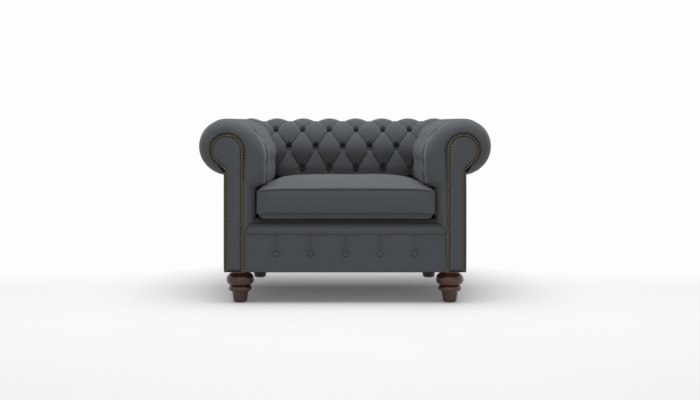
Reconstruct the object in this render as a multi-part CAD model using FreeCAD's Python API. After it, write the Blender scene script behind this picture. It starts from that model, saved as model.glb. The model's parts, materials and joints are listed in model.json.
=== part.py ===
import FreeCAD
import Part
import math
import os

# A chesterfield armchair in millimetres. +X is the viewer's right, the front faces -Y, +Z is up, and the
# origin is on the floor below the middle of the chair. "Left" and "right" are the viewer's.
#
# The arms and the back share one section, drawn in u and z: u runs from the roll's centre towards the seat.
# Lengths along an arm or along the back are called a.

# How far cutting shapes run past what they cut
cut_spare = 20.0

# Places of the rolls
arm_roll_x = 458.0
back_roll_y = 338.0
roll_z = 604.0
board_front_y = -430.0

# The section of the stuffed arm and back
roll_radius = 102.0
belly_radius = 152.0
belly_low_z = 500.0
belly_lean = 6.0
belly_foot_lift = 12.0
inside_u = 109.0
pad_gap = 0.5
cover_thickness = 28.0
lining_thickness = 6.0
lining_under_turn = 215.0

# The wooden outline of the arm and the back
scroll_u = 10.0
scroll_drop = 16.0
scroll_stuffing = 41.0
scroll_slope = 42.5
frame_outer_u = -1.0
liner_thickness = 3.0
liner_lift = 17.0

# Timber
board_thickness = 22.0
base_z = 122.0
rail_height = 110.0
rail_thickness = 25.0
corner_block_leg = 130.0
corner_block_height = 80.0
top_rail_width = 50.0
top_rail_height = 40.0
top_rail_lift = 2.0
outer_rail_width = 22.0
outer_rail_height = 42.0
outer_rail_drop = 94.0
stuffer_rail_width = 22.0
stuffer_rail_height = 42.0
post_width = 45.0
arm_former_y = -46.0
back_former_x = 195.0

# Seat deck
spring_count = 5
spring_spacing = 130.0
spring_half_loops = 20
spring_loop_width = 46.0
spring_wire = 3.8
clip_length = 12.0
clip_width = 20.0
clip_sheet = 1.2
clip_slack = 0.1
clip_setback = 4.5
hessian_thickness = 1.5
hessian_lift = 7.0
hessian_overlap = 12.0
deck_top_z = 322.5
deck_side_gap = 2.0

# Front of the seat
lip_bottom_z = 269.5
lip_stuffing = 26.0
lip_round = 24.0
border_stuffing = 22.0
border_round = 7.0
border_end_gap = 0.5
border_button_z = 190.6
border_button_spacing = 133.0
border_button_count = 5
border_dimple_depth = 9.0
border_pleat_depth = 6.0

# Plain padded front border of each arm
arm_border_depth = 90.0
arm_border_round = 66.0
arm_border_stations = 6
arm_border_edge = 1.0
core_setback = 18.0

# Tufting
tuft_spacing = 119.0
crest_row_u = -38.0
tuft_row_z = (665.0, 580.0, 482.0)
arm_tuft_y = -315.0
tuft_end_margin = 26.0
dimple_depth = 20.0
dimple_flare = 45.0
pleat_end_depth = 7.0
pleat_half_angle = 58.0
pleat_reach = 42.0
crest_turn = 90.0
crest_pleat_depth = 9.0
roll_pleat_depth = 9.0
button_radius = 11.0
button_seat_slack = 0.6
button_height = 7.0
twine_radius = 0.8
twine_tail = 4.0

# Facings and nails
facing_thickness = 6.0
nail_line_inset = 4.0
nail_outer_inset = 8.0
nail_pitch = 10.5
nail_head_radius = 4.7
nail_head_height = 4.0
nail_shank_radius = 1.0
nail_shank_length = 15.0

# Outside panels and dust cover
panel_thickness = 6.0
panel_top_gap = 0.5
dust_cover_thickness = 0.8
dust_cover_inset = 6.0
foot_hole_gap = 0.8

# Feet
front_foot = (406.0, -371.0)
rear_foot = (379.0, 280.0)
foot_tip_radius = 22.0
foot_ankle = (27.0, 12.0)
foot_neck = (32.0, 42.0)
foot_bead = (45.5, 54.0)
foot_waist = (38.0, 66.0)
foot_bulb = (53.5, 87.5)
foot_collar = (42.0, 109.0)
bolt_radius = 4.0
bolt_depth_in_foot = 45.0
bolt_stand_out = 6.0
bolt_slack = 0.25
nut_barrel_radius = 5.5
nut_barrel_length = 14.0
nut_flange_radius = 9.5
nut_flange_thickness = 1.5

# Seat cushion
cushion_side_gap = 9.0
cushion_front_setback = 2.0
cushion_rear_gap = 17.0
cushion_deck_gap = 0.9
cushion_hang = 19.6
cushion_boxing = 95.0
cushion_crown = 40.0
cushion_crown_power = 4
cushion_crown_run = 280.0
cushion_hang_run = 150.0
cushion_levels = 6
cushion_front_bulge = 7.0
cushion_side_draw = 5.0
cushion_corner_radius = 26.0
cushion_cloth = 3.0
cushion_overhang_gap = 6.0
zip_end_margin = 40.0
zip_height = 24.0
zip_thickness = 1.2
slider_length = 14.0
slider_height = 11.0
slider_thickness = 3.0
slider_gap = 0.3
slider_end_room = 21.0
pull_length = 26.0
pull_width = 6.0
pull_thickness = 1.2

Vector = FreeCAD.Vector
belly_z = roll_z + roll_radius - belly_radius
scroll_z = roll_z - scroll_drop
scroll_radius = roll_radius - scroll_stuffing
top_rail_z = scroll_z + top_rail_lift
outer_rail_top_z = roll_z - outer_rail_drop
rail_top_z = base_z + rail_height
board_back_y = board_front_y + board_thickness
frame_outer_x = arm_roll_x - frame_outer_u
frame_rear_y = back_roll_y - frame_outer_u
frame_inner_u = scroll_u + scroll_radius
pleated_start_y = board_front_y + arm_border_depth
outside_top_z = roll_z - math.sqrt(roll_radius ** 2 - frame_outer_u ** 2) - panel_top_gap
pad_bottom_z = deck_top_z + pad_gap
liner_bottom_z = pad_bottom_z + liner_lift
cushion_half_width = arm_roll_x - inside_u - cushion_side_gap
cushion_front_y = board_front_y + cushion_front_setback
cushion_rear_y = back_roll_y - inside_u - cushion_rear_gap
cushion_bottom_z = deck_top_z + cushion_deck_gap
cushion_low_seam_z = cushion_bottom_z + cushion_hang
cushion_top_seam_z = cushion_low_seam_z + cushion_boxing
cushion_crown_z = cushion_top_seam_z + cushion_crown
undercut = (inside_u, cushion_top_seam_z + cushion_overhang_gap)
belly_foot = (belly_radius - belly_lean, undercut[1] + belly_foot_lift)
zip_z = (cushion_low_seam_z + cushion_top_seam_z) / 2
zip_length = 2 * (cushion_half_width - zip_end_margin)


def section_point(point, along=0.0):
    """A point of the (u, z) section at a place along the arm."""
    return Vector(point[0], along, point[1])


def circle_point(centre, radius, degrees):
    """A point on a circle of the section."""
    turn = math.radians(degrees)
    return (centre[0] + radius * math.cos(turn), centre[1] + radius * math.sin(turn))


def closed_wire(steps, along=0.0):
    """A closed wire of points (u, z) and arcs (centre, radius, start, end), joined by straight lines."""
    edges = []
    first = None
    last = None

    def join(target):
        if last is not None and (last - target).Length > 1e-6:
            edges.append(Part.LineSegment(last, target).toShape())

    for step in steps:
        if len(step) == 2:
            place = section_point(step, along)
            join(place)
            first = first or place
            last = place
            continue
        centre, radius, start, end = step
        pieces = 2 if abs(end - start) > 120 else 1
        for index in range(pieces):
            turns = [start + (end - start) * (index + share) / pieces for share in (0.0, 0.5, 1.0)]
            begin, middle, finish = [section_point(circle_point(centre, radius, t), along) for t in turns]
            join(begin)
            first = first or begin
            edges.append(Part.Arc(begin, middle, finish).toShape())
            last = finish
    join(first)
    return Part.Wire(edges)


def box(low, high):
    """A block between two corners."""
    return Part.makeBox(high[0] - low[0], high[1] - low[1], high[2] - low[2], Vector(*low))


def flipped(shape):
    """The same shape on the other side of the chair."""
    return shape.mirror(Vector(0, 0, 0), Vector(1, 0, 0))


def to_left(shape):
    """From the section's own frame to the left arm."""
    moved = shape.copy()
    moved.translate(Vector(-arm_roll_x, 0, 0))
    return moved


def to_back(shape):
    """From the section's own frame to the back, where a runs along +X."""
    moved = shape.copy()
    moved.rotate(Vector(0, 0, 0), Vector(0, 0, 1), -90)
    moved.translate(Vector(0, back_roll_y, 0))
    return moved


# Outlines of the section

def stuffed_steps():
    """The outer skin of arm and back, from under the roll over the top and down the inside."""
    start = math.degrees(math.acos(frame_outer_u / roll_radius))
    return [
        ((0.0, roll_z), roll_radius, 360 - start, 90),
        ((0.0, belly_z), belly_radius, 90, 0),
        (belly_radius, belly_low_z),
        belly_foot,
        undercut,
        (undercut[0], pad_bottom_z),
    ]


def lining_steps():
    """The inner face of the tufted cover, in the same order."""
    radius = roll_radius - cover_thickness
    under_z = roll_z - math.sqrt(roll_radius ** 2 - frame_outer_u ** 2)
    inner_u = undercut[0] - lining_thickness
    return [
        (frame_outer_u, under_z + lining_thickness),
        ((0.0, roll_z), radius, lining_under_turn, 90),
        ((0.0, belly_z), belly_radius - cover_thickness, 90, 0),
        (belly_radius - cover_thickness, belly_low_z),
        (belly_foot[0] - cover_thickness, belly_foot[1] + lining_thickness * 3),
        (inner_u, undercut[1] + lining_thickness * 3),
        (inner_u, pad_bottom_z),
    ]


def frame_steps(inset=0.0, bottom=None):
    """The wooden outline: under the scroll, round it and down the inside, drawn in by an inset."""
    radius = scroll_radius - inset
    touch = circle_point((scroll_u, scroll_z), radius, 270 - scroll_slope)
    drop = (frame_outer_u - touch[0]) * math.tan(math.radians(scroll_slope))
    low = pad_bottom_z if bottom is None else bottom
    return [
        (frame_outer_u, touch[1] - drop),
        ((scroll_u, scroll_z), radius, 270 - scroll_slope, 0),
        (scroll_u + radius, low),
    ]


def reversed_steps(steps):
    """The same path walked backwards."""
    turned = []
    for step in reversed(steps):
        if len(step) == 2:
            turned.append(step)
        else:
            turned.append((step[0], step[1], step[3], step[2]))
    return turned


def plan_prism(low_z, high_z, start_a, end_at_zero, both_ends=False):
    """The plan of an arm or of the back, mitred at 45 degrees where they meet."""
    low_u = -roll_radius - cut_spare
    high_u = belly_radius + cut_spare
    near = -(end_at_zero - low_u) if both_ends else start_a
    near_inner = -(end_at_zero - high_u) if both_ends else start_a
    corners = [(low_u, near), (low_u, end_at_zero - low_u), (high_u, end_at_zero - high_u), (high_u, near_inner)]
    points = [Vector(u, a, low_z) for u, a in corners]
    return Part.Face(Part.makePolygon(points + points[:1])).extrude(Vector(0, 0, high_z - low_z))


def arm_run(steps, start_a):
    """A section carried along an arm from start_a to the mitre with the back."""
    length = back_roll_y + roll_radius - start_a + 2 * cut_spare
    bar = Part.Face(closed_wire(steps, start_a)).extrude(Vector(0, length, 0))
    return bar.common(plan_prism(0, roll_z + 2 * roll_radius, start_a, back_roll_y))


def back_run(steps):
    """A section carried along the back between its two mitres."""
    half = arm_roll_x + roll_radius + cut_spare
    bar = Part.Face(closed_wire(steps, -half)).extrude(Vector(0, 2 * half, 0))
    return bar.common(plan_prism(0, roll_z + 2 * roll_radius, 0, arm_roll_x, both_ends=True))


def rectangle(u_range, z_range):
    """A rectangular section."""
    return [(u_range[0], z_range[0]), (u_range[1], z_range[0]), (u_range[1], z_range[1]), (u_range[0], z_range[1])]


# Timber frame

def rail_sections():
    """The rectangles of the top rail, the outer rail under the roll and the stuffer rail."""
    half = top_rail_width / 2
    outer_range = (outer_rail_top_z - outer_rail_height, outer_rail_top_z)
    stuffer_u = frame_inner_u - liner_thickness
    stuffer_range = (liner_bottom_z, liner_bottom_z + stuffer_rail_height)
    return {
        "top": rectangle((scroll_u - half, scroll_u + half), (top_rail_z, top_rail_z + top_rail_height)),
        "outer": rectangle((frame_outer_u, frame_outer_u + outer_rail_width), outer_range),
        "stuffer": rectangle((stuffer_u - stuffer_rail_width, stuffer_u), stuffer_range),
    }


def seat_rails():
    """The four rails of the seat frame."""
    inner_x = frame_outer_x - rail_thickness
    front_end = board_back_y + rail_thickness
    rear_start = frame_rear_y - rail_thickness
    side = box((-frame_outer_x, front_end, base_z), (-inner_x, rear_start, rail_top_z))
    return {
        "front_seat_rail": box((-frame_outer_x, board_back_y, base_z), (frame_outer_x, front_end, rail_top_z)),
        "back_seat_rail": box((-frame_outer_x, rear_start, base_z), (frame_outer_x, frame_rear_y, rail_top_z)),
        "side_seat_rail_left": side,
        "side_seat_rail_right": flipped(side),
    }


def foot_places():
    """Names and centres of the four feet."""
    return {
        "front_foot_left": (-front_foot[0], front_foot[1]),
        "front_foot_right": front_foot,
        "rear_foot_left": (-rear_foot[0], rear_foot[1]),
        "rear_foot_right": rear_foot,
    }


def corner_blocks():
    """Four glued triangular blocks that carry the feet."""
    inner_x = frame_outer_x - rail_thickness
    low_z = base_z
    blocks = []
    for name, (foot_x, foot_y) in foot_places().items():
        side = 1 if foot_x > 0 else -1
        front = name.startswith("front")
        corner_y = board_back_y + rail_thickness if front else frame_rear_y - rail_thickness
        inward = 1 if front else -1
        points = [
            Vector(side * inner_x, corner_y, low_z),
            Vector(side * (inner_x - corner_block_leg), corner_y, low_z),
            Vector(side * inner_x, corner_y + inward * corner_block_leg, low_z),
        ]
        block = Part.Face(Part.makePolygon(points + points[:1])).extrude(Vector(0, 0, corner_block_height))
        hole = Part.makeCylinder(bolt_radius + bolt_slack, corner_block_height, Vector(foot_x, foot_y, low_z))
        barrel_z = low_z + corner_block_height - nut_barrel_length
        barrel = Part.makeCylinder(nut_barrel_radius, nut_barrel_length, Vector(foot_x, foot_y, barrel_z))
        blocks.append(block.cut([hole, barrel]))
    return Part.makeCompound(blocks)


def scroll_board():
    """The left front board, from the floor of the frame up round the scroll."""
    face = Part.Face(closed_wire(frame_steps(0.0, base_z) + [(frame_outer_u, base_z)], board_front_y))
    return to_left(face.extrude(Vector(0, board_thickness, 0)))


def former(place, rails):
    """An upright inside an arm or the back, notched round the rails, standing on a seat rail."""
    steps = frame_steps(liner_thickness, rail_top_z) + [(frame_outer_u, rail_top_z)]
    face = Part.Face(closed_wire(steps, place - board_thickness / 2))
    return face.extrude(Vector(0, board_thickness, 0)).cut(rails)


def rear_post(rails):
    """The left rear corner post, notched round the rails that cross it."""
    low = (-frame_outer_x, frame_rear_y - post_width, rail_top_z)
    high = (-frame_outer_x + post_width, frame_rear_y, top_rail_z)
    return box(low, high).cut(rails)


def timber():
    """The whole frame by name."""
    sections = rail_sections()
    arm_rails = {name: arm_run(steps, board_back_y) for name, steps in sections.items()}
    back_rails = {name: back_run(steps) for name, steps in sections.items()}
    parts = seat_rails()
    parts["corner_blocks"] = corner_blocks()
    parts["scroll_board_left"] = scroll_board()
    parts["scroll_board_right"] = flipped(scroll_board())
    arm_former = to_left(former(arm_former_y, list(arm_rails.values())))
    parts["arm_formers"] = Part.makeCompound([arm_former, flipped(arm_former)])
    back_former = to_back(former(-back_former_x, list(back_rails.values())))
    parts["back_former_left"] = back_former
    parts["back_former_right"] = flipped(back_former)
    crossing = [to_left(rail) for rail in arm_rails.values()] + [to_back(rail) for rail in back_rails.values()]
    parts["rear_post_left"] = rear_post(crossing)
    parts["rear_post_right"] = flipped(rear_post(crossing))
    top = to_left(arm_rails["top"])
    parts["arm_top_rail_left"] = top
    parts["arm_top_rail_right"] = flipped(top)
    for name in ("outer", "stuffer"):
        rail = to_left(arm_rails[name])
        parts["arm_" + name + "_rails"] = Part.makeCompound([rail, flipped(rail)])
    for name, rail in back_rails.items():
        parts["back_" + name + "_rail"] = to_back(rail)
    return parts


# Liners, foam and plain padding

def liner_steps():
    """The bent board over the formers, from under the scroll to the stuffer rail."""
    outside = frame_steps(0.0, liner_bottom_z)
    inside = frame_steps(liner_thickness, liner_bottom_z)
    return outside + reversed_steps(inside)


def cover_steps():
    """The tufted cover's section."""
    return stuffed_steps() + reversed_steps(lining_steps())


def core_steps():
    """The foam between the cover and the liner."""
    return lining_steps() + reversed_steps(frame_steps())


def arm_border():
    """The left arm's plain front border, rounded from the full section forward to the facing."""
    def blend(low, high, share):
        return low + (high - low) * share

    def outline(share, along):
        edge = scroll_radius + arm_border_edge
        start = math.degrees(math.acos(frame_outer_u / roll_radius))
        roll_centre = (blend(scroll_u, 0.0, share), blend(scroll_z, roll_z, share))
        belly_centre = (blend(scroll_u, 0.0, share), blend(scroll_z, belly_z, share))
        inner_u = scroll_u + edge
        roll_start = blend(270 - scroll_slope, 360 - start, share)
        steps = [
            (roll_centre, blend(edge, roll_radius, share), roll_start, 90),
            (belly_centre, blend(edge, belly_radius, share), 90, 0),
            (blend(inner_u, belly_radius, share), belly_low_z),
            (blend(inner_u, belly_foot[0], share), belly_foot[1]),
            (blend(inner_u, undercut[0], share), undercut[1]),
            (blend(inner_u, undercut[0], share), pad_bottom_z),
            (frame_outer_u, pad_bottom_z),
        ]
        under = circle_point(roll_centre, blend(edge, roll_radius, share), roll_start)
        drop = (frame_outer_u - under[0]) * math.tan(math.radians(scroll_slope))
        steps.append((frame_outer_u, under[1] - max(drop, 0.5)))
        return closed_wire(steps, along)

    wires = []
    for index in range(arm_border_stations):
        turn = math.pi / 2 * index / (arm_border_stations - 1)
        along = board_front_y + arm_border_round * (1 - math.cos(turn))
        wires.append(outline(math.sin(turn), along))
    wires.append(outline(1.0, pleated_start_y))
    body = Part.makeLoft(wires, True, True)
    front_hole = Part.Face(closed_wire(frame_steps() + [(frame_outer_u, pad_bottom_z)], board_front_y - 1))
    hole = front_hole.extrude(Vector(0, arm_border_depth + cut_spare, 0))
    core_y = board_back_y + core_setback
    core = Part.Face(closed_wire(core_steps(), core_y)).extrude(Vector(0, arm_border_depth, 0))
    panel_low = (-2 * roll_radius, board_front_y - arm_border_round, 0)
    panel_place = box(panel_low, (frame_outer_u, pleated_start_y, outside_top_z))
    return to_left(body.cut([hole, core, panel_place]))


# Tufting

def skin_place(u=None, z=None):
    """A point (u, z) on the stuffed skin and its outward direction in degrees."""
    if z is None:
        turn = math.acos(u / roll_radius)
        return (u, roll_z + roll_radius * math.sin(turn)), math.degrees(turn)
    if z >= belly_z:
        turn = math.asin((z - belly_z) / belly_radius)
        return (belly_radius * math.cos(turn), z), math.degrees(turn)
    if z >= belly_low_z:
        return (belly_radius, z), 0.0
    share = (belly_low_z - z) / (belly_low_z - belly_foot[1])
    lean = math.atan2(belly_radius - belly_foot[0], belly_low_z - belly_foot[1])
    return (belly_radius - share * (belly_radius - belly_foot[0]), z), -math.degrees(lean)


def tuft_rows():
    """The rows of buttons from the crest down: place in the section and outward direction."""
    return [skin_place(u=crest_row_u)] + [skin_place(z=z) for z in tuft_row_z]


def tuft_columns(row, start_a, offset, both_ends, end_at_zero):
    """Places of one row's buttons along the arm or the back."""
    (u, z), direction = tuft_rows()[row]
    far = end_at_zero - u - tuft_end_margin
    near = -far if both_ends else start_a
    first = offset + (tuft_spacing / 2 if row % 2 == 0 else 0.0)
    count = int(2 * (far - near) / tuft_spacing) + 4
    places = [first + tuft_spacing * index for index in range(-count, count)]
    return [place for place in places if near <= place <= far]


def outward(degrees):
    """The outward direction of a skin place as a vector."""
    turn = math.radians(degrees)
    return Vector(math.cos(turn), 0, math.sin(turn))


def pleat(start, start_turn, end, end_turn, depth):
    """A straight V-shaped groove between two places of the skin."""
    normal = outward(start_turn) + outward(end_turn)
    normal.normalize()
    low = start - outward(start_turn) * depth
    high = end - outward(end_turn) * depth
    along = high - low
    side = along.cross(normal)
    side.normalize()
    upward = side.cross(along)
    upward.normalize()
    if upward.dot(normal) < 0:
        upward = upward * -1
    spread = side * (pleat_reach * math.tan(math.radians(pleat_half_angle)))
    points = [low, low + upward * pleat_reach + spread, low + upward * pleat_reach - spread]
    return Part.Face(Part.makePolygon(points + points[:1])).extrude(along)


def dimple(place, direction):
    """A cone down to the seat of a button."""
    out = outward(direction)
    seat = place - out * dimple_depth
    reach = dimple_depth + 12
    low_radius = button_radius + button_seat_slack
    high_radius = low_radius + reach * math.tan(math.radians(dimple_flare))
    return Part.makeCone(low_radius, high_radius, reach, seat, out)


def roll_pleat(place):
    """A V-shaped groove round the outside of the roll, at one place along it."""
    half = roll_pleat_depth * math.tan(math.radians(pleat_half_angle)) * 2
    low = roll_radius - roll_pleat_depth
    high = roll_radius + roll_pleat_depth
    points = [
        Vector(low, place, roll_z),
        Vector(high, place - half, roll_z),
        Vector(high, place + half, roll_z),
    ]
    face = Part.Face(Part.makePolygon(points + points[:1]))
    axis_point = Vector(0, place, roll_z)
    start = math.degrees(math.acos(crest_row_u / roll_radius))
    face.rotate(axis_point, Vector(0, -1, 0), start)
    return face.revolve(axis_point, Vector(0, -1, 0), 268 - start)


def tuft_tools(columns):
    """Everything that is sunk into a cover: dimples, diagonal pleats and straight ones."""
    rows = tuft_rows()
    tools = []
    for row, (point, direction) in enumerate(rows):
        for place in columns[row]:
            here = section_point(point, place)
            tools.append(dimple(here, direction))
            if row == 0:
                tools.append(roll_pleat(place))
            if row + 1 < len(rows):
                next_point, next_direction = rows[row + 1]
                for other in columns[row + 1]:
                    if abs(other - place) > tuft_spacing * 0.75:
                        continue
                    there = section_point(next_point, other)
                    if row > 0:
                        tools.append(pleat(here, direction, there, next_direction, pleat_end_depth))
                        continue
                    share = (direction - crest_turn) / (direction - next_direction)
                    crest = section_point((0.0, roll_z + roll_radius), place + (other - place) * share)
                    tools.append(pleat(here, direction, crest, crest_turn, crest_pleat_depth))
                    tools.append(pleat(crest, crest_turn, there, next_direction, crest_pleat_depth))
            else:
                foot = section_point(belly_foot, place)
                tools.append(pleat(here, direction, foot, direction, pleat_end_depth))
    return tools


def buttons(columns):
    """Covered buttons on their seats, each a short round base under a dome."""
    shapes = []
    for row, (point, direction) in enumerate(tuft_rows()):
        for place in columns[row]:
            out = outward(direction)
            seat = section_point(point, place) - out * dimple_depth
            shapes.append(button(seat, out))
    return shapes


def button(seat, out):
    """One covered button, domed on a short rim."""
    rim = button_height * 0.4
    dome = button_height - rim
    sphere_radius = (button_radius ** 2 + dome ** 2) / (2 * dome)
    arc_start = Vector(button_radius, 0, rim)
    turn = math.asin(button_radius / sphere_radius) / 2
    lift = rim + dome - sphere_radius
    arc_middle = Vector(sphere_radius * math.sin(turn), 0, lift + sphere_radius * math.cos(turn))
    top = Vector(0, 0, button_height)
    edges = [
        Part.LineSegment(Vector(0, 0, 0), Vector(button_radius, 0, 0)).toShape(),
        Part.LineSegment(Vector(button_radius, 0, 0), arc_start).toShape(),
        Part.Arc(arc_start, arc_middle, top).toShape(),
        Part.LineSegment(top, Vector(0, 0, 0)).toShape(),
    ]
    shape = Part.Face(Part.Wire(edges)).revolve(Vector(0, 0, 0), Vector(0, 0, 1), 360)
    shape.Placement = FreeCAD.Placement(seat, FreeCAD.Rotation(Vector(0, 0, 1), out))
    return shape


def twines(columns):
    """The twine that pulls each button down, tied off behind the liner."""
    shapes = []
    liner = Part.Face(closed_wire(frame_steps() + [(frame_outer_u, pad_bottom_z)]))
    for row, (point, direction) in enumerate(tuft_rows()):
        out = outward(direction)
        seat = section_point(point) - out * dimple_depth
        reach = 2 * belly_radius
        line = Part.LineSegment(seat, seat - out * reach).toShape()
        inside = line.common(liner).Edges[0]
        depth = min((vertex.Point - seat).Length for vertex in inside.Vertexes)
        for place in columns[row]:
            start = section_point(point, place) - out * dimple_depth
            length = depth + liner_thickness + twine_tail
            shapes.append(Part.makeCylinder(twine_radius, length, start, out * -1))
    return shapes


def upholstery():
    """Covers, foam, liners, buttons and twine of the arms and the back."""
    arm_columns = [tuft_columns(row, pleated_start_y + 2, arm_tuft_y, False, back_roll_y) for row in range(4)]
    back_columns = [tuft_columns(row, 0, tuft_spacing / 2, True, arm_roll_x) for row in range(4)]
    core_y = board_back_y + core_setback
    arm_cover = to_left(arm_run(cover_steps(), pleated_start_y).cut(tuft_tools(arm_columns)))
    back_cover = to_back(back_run(cover_steps()).cut(tuft_tools(back_columns)))
    arm_core = to_left(arm_run(core_steps(), core_y))
    arm_liner = to_left(arm_run(liner_steps(), board_back_y))
    arm_buttons = Part.makeCompound([to_left(shape) for shape in buttons(arm_columns)])
    arm_twines = [to_left(shape) for shape in twines(arm_columns)]
    back_twines = [to_back(shape) for shape in twines(back_columns)]
    border = arm_border()
    return {
        "arm_cover_left": arm_cover,
        "arm_cover_right": flipped(arm_cover),
        "back_cover": back_cover,
        "arm_foam_left": arm_core,
        "arm_foam_right": flipped(arm_core),
        "back_foam": to_back(back_run(core_steps())),
        "arm_liner_left": arm_liner,
        "arm_liner_right": flipped(arm_liner),
        "back_liner": to_back(back_run(liner_steps())),
        "arm_front_border_left": border,
        "arm_front_border_right": flipped(border),
        "arm_buttons_left": arm_buttons,
        "arm_buttons_right": flipped(arm_buttons),
        "back_buttons": Part.makeCompound([to_back(shape) for shape in buttons(back_columns)]),
        "button_twines": Part.makeCompound(arm_twines + [flipped(shape) for shape in arm_twines] + back_twines),
    }


# Facings and nails

def facing():
    """The flat padded panel on the left scroll board."""
    steps = frame_steps(0.0, base_z) + [(frame_outer_u, base_z)]
    face = Part.Face(closed_wire(steps, board_front_y - facing_thickness))
    return to_left(face.extrude(Vector(0, facing_thickness, 0)))


def nail_path():
    """The line of the nails: up the inside, round the scroll, under it and down the outside."""
    radius = scroll_radius - nail_line_inset
    bottom = base_z + nail_line_inset + nail_head_radius
    outer_u = frame_outer_u + nail_outer_inset
    touch = circle_point((scroll_u, scroll_z), radius, 270 - scroll_slope)
    low_z = touch[1] - (outer_u - touch[0]) * math.tan(math.radians(scroll_slope))
    inner_length = scroll_z - bottom
    arc_turn = math.radians(270 - scroll_slope)
    arc_length = radius * arc_turn
    slope_length = math.hypot(outer_u - touch[0], touch[1] - low_z)
    total = inner_length + arc_length + slope_length + low_z - bottom
    count = round(total / nail_pitch)
    places = []
    for index in range(count + 1):
        travel = total * index / count
        if travel <= inner_length:
            places.append((scroll_u + radius, bottom + travel))
            continue
        travel -= inner_length
        if travel <= arc_length:
            places.append(circle_point((scroll_u, scroll_z), radius, math.degrees(travel / radius)))
            continue
        travel -= arc_length
        if travel <= slope_length:
            share = travel / slope_length
            places.append((touch[0] + share * (outer_u - touch[0]), touch[1] + share * (low_z - touch[1])))
            continue
        places.append((outer_u, low_z - (travel - slope_length)))
    return places


def nails():
    """Domed nails with their shanks, close together along the path."""
    face_y = board_front_y - facing_thickness
    sphere_radius = (nail_head_radius ** 2 + nail_head_height ** 2) / (2 * nail_head_height)
    turn = math.asin(nail_head_radius / sphere_radius) / 2
    lift = nail_head_height - sphere_radius
    middle = Vector(sphere_radius * math.sin(turn), 0, lift + sphere_radius * math.cos(turn))
    corners = [
        Vector(0, 0, -nail_shank_length),
        Vector(nail_shank_radius, 0, -nail_shank_length),
        Vector(nail_shank_radius, 0, 0),
        Vector(nail_head_radius, 0, 0),
    ]
    edges = [Part.LineSegment(a, b).toShape() for a, b in zip(corners, corners[1:])]
    top = Vector(0, 0, nail_head_height)
    edges.append(Part.Arc(corners[-1], middle, top).toShape())
    edges.append(Part.LineSegment(top, corners[0]).toShape())
    nail = Part.Face(Part.Wire(edges)).revolve(Vector(0, 0, 0), Vector(0, 0, 1), 360)
    shapes = []
    for place in nail_path():
        shape = nail.copy()
        centre = section_point(place, face_y)
        shape.Placement = FreeCAD.Placement(centre, FreeCAD.Rotation(Vector(0, 0, 1), Vector(0, -1, 0)))
        shapes.append(to_left(shape))
    return Part.makeCompound(shapes)


# Seat deck and front

def spring(centre_x, front_y, rear_y, wire_z):
    """A zigzag spring lying between two clips, its end bars across the chair."""
    pitch = (rear_y - front_y) / spring_half_loops
    radius = pitch / 2
    half = spring_loop_width / 2 - radius
    edges = []
    side = 1
    y = front_y
    start = Vector(centre_x - half, y, wire_z)
    edges.append(Part.LineSegment(start, Vector(centre_x + half, y, wire_z)).toShape())
    for index in range(spring_half_loops):
        x = centre_x + side * half
        begin = Vector(x, y, wire_z)
        middle = Vector(x + side * radius, y + radius, wire_z)
        finish = Vector(x, y + pitch, wire_z)
        edges.append(Part.Arc(begin, middle, finish).toShape())
        edges.append(Part.LineSegment(finish, Vector(centre_x - side * half, y + pitch, wire_z)).toShape())
        y += pitch
        side = -side
    path = Part.Wire(edges)
    profile = Part.Wire([Part.makeCircle(spring_wire / 2, start, Vector(1, 0, 0))])
    return path.makePipeShell([profile], True, False)


def spring_clip(centre_x, wire_y, wire_z, toward):
    """A bent metal clip that holds a spring's end bar on a rail; toward is the side that it opens to."""
    outer = spring_wire / 2 + clip_slack + clip_sheet
    inner = spring_wire / 2 + clip_slack
    reach = clip_length - outer
    half = clip_width / 2
    low = Vector(centre_x - half, wire_y, wire_z)

    def slot(radius):
        tube = Part.makeCylinder(radius, clip_width, low, Vector(1, 0, 0))
        near = min(0, toward * reach)
        bar = Part.makeBox(clip_width, reach, 2 * radius, low + Vector(0, near, -radius))
        return tube.fuse(bar)

    shell = slot(outer).cut(slot(inner))
    return shell.removeSplitter()


def seat_deck(uprights):
    """Springs, clips, hessian notched round the uprights, deck pad and the firm roll at the front edge."""
    wire_z = rail_top_z + clip_sheet + clip_slack + spring_wire / 2
    front_wire_y = board_back_y + rail_thickness / 2 + clip_setback
    rear_wire_y = frame_rear_y - rail_thickness / 2 - clip_setback
    middle = (spring_count - 1) / 2
    centres = [(index - middle) * spring_spacing for index in range(spring_count)]
    clips = []
    for x in centres:
        clips.append(spring_clip(x, front_wire_y, wire_z, 1))
        clips.append(spring_clip(x, rear_wire_y, wire_z, -1))
    hessian_z = rail_top_z + hessian_lift
    pad_z = hessian_z + hessian_thickness
    pad_front_y = board_back_y + rail_thickness - hessian_overlap
    pad_half = arm_roll_x - frame_inner_u - deck_side_gap
    pad_rear_y = back_roll_y - frame_inner_u - deck_side_gap
    roll_top_z = deck_top_z - lining_thickness
    return {
        "seat_springs": Part.makeCompound([spring(x, front_wire_y, rear_wire_y, wire_z) for x in centres]),
        "spring_clips": Part.makeCompound(clips),
        "hessian": box((-pad_half, pad_front_y, hessian_z), (pad_half, rear_wire_y, pad_z)).cut(uprights),
        "deck_pad": box((-pad_half, pad_front_y, pad_z), (pad_half, pad_rear_y, deck_top_z)),
        "front_edge_roll": box((-pad_half, board_back_y, rail_top_z), (pad_half, pad_front_y, roll_top_z)),
    }


def rounded(shape, radius, y, z, low_x, high_x):
    """The shape with its edge along X at (y, z) rounded."""
    chosen = []
    for edge in shape.Edges:
        bound = edge.BoundBox
        level = abs(bound.YMin - y) + abs(bound.YMax - y) + abs(bound.ZMin - z) + abs(bound.ZMax - z)
        if level < 0.01 and bound.XLength > 0.9 * (high_x - low_x):
            chosen.append(edge)
    return shape.makeFillet(radius, chosen)


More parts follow.
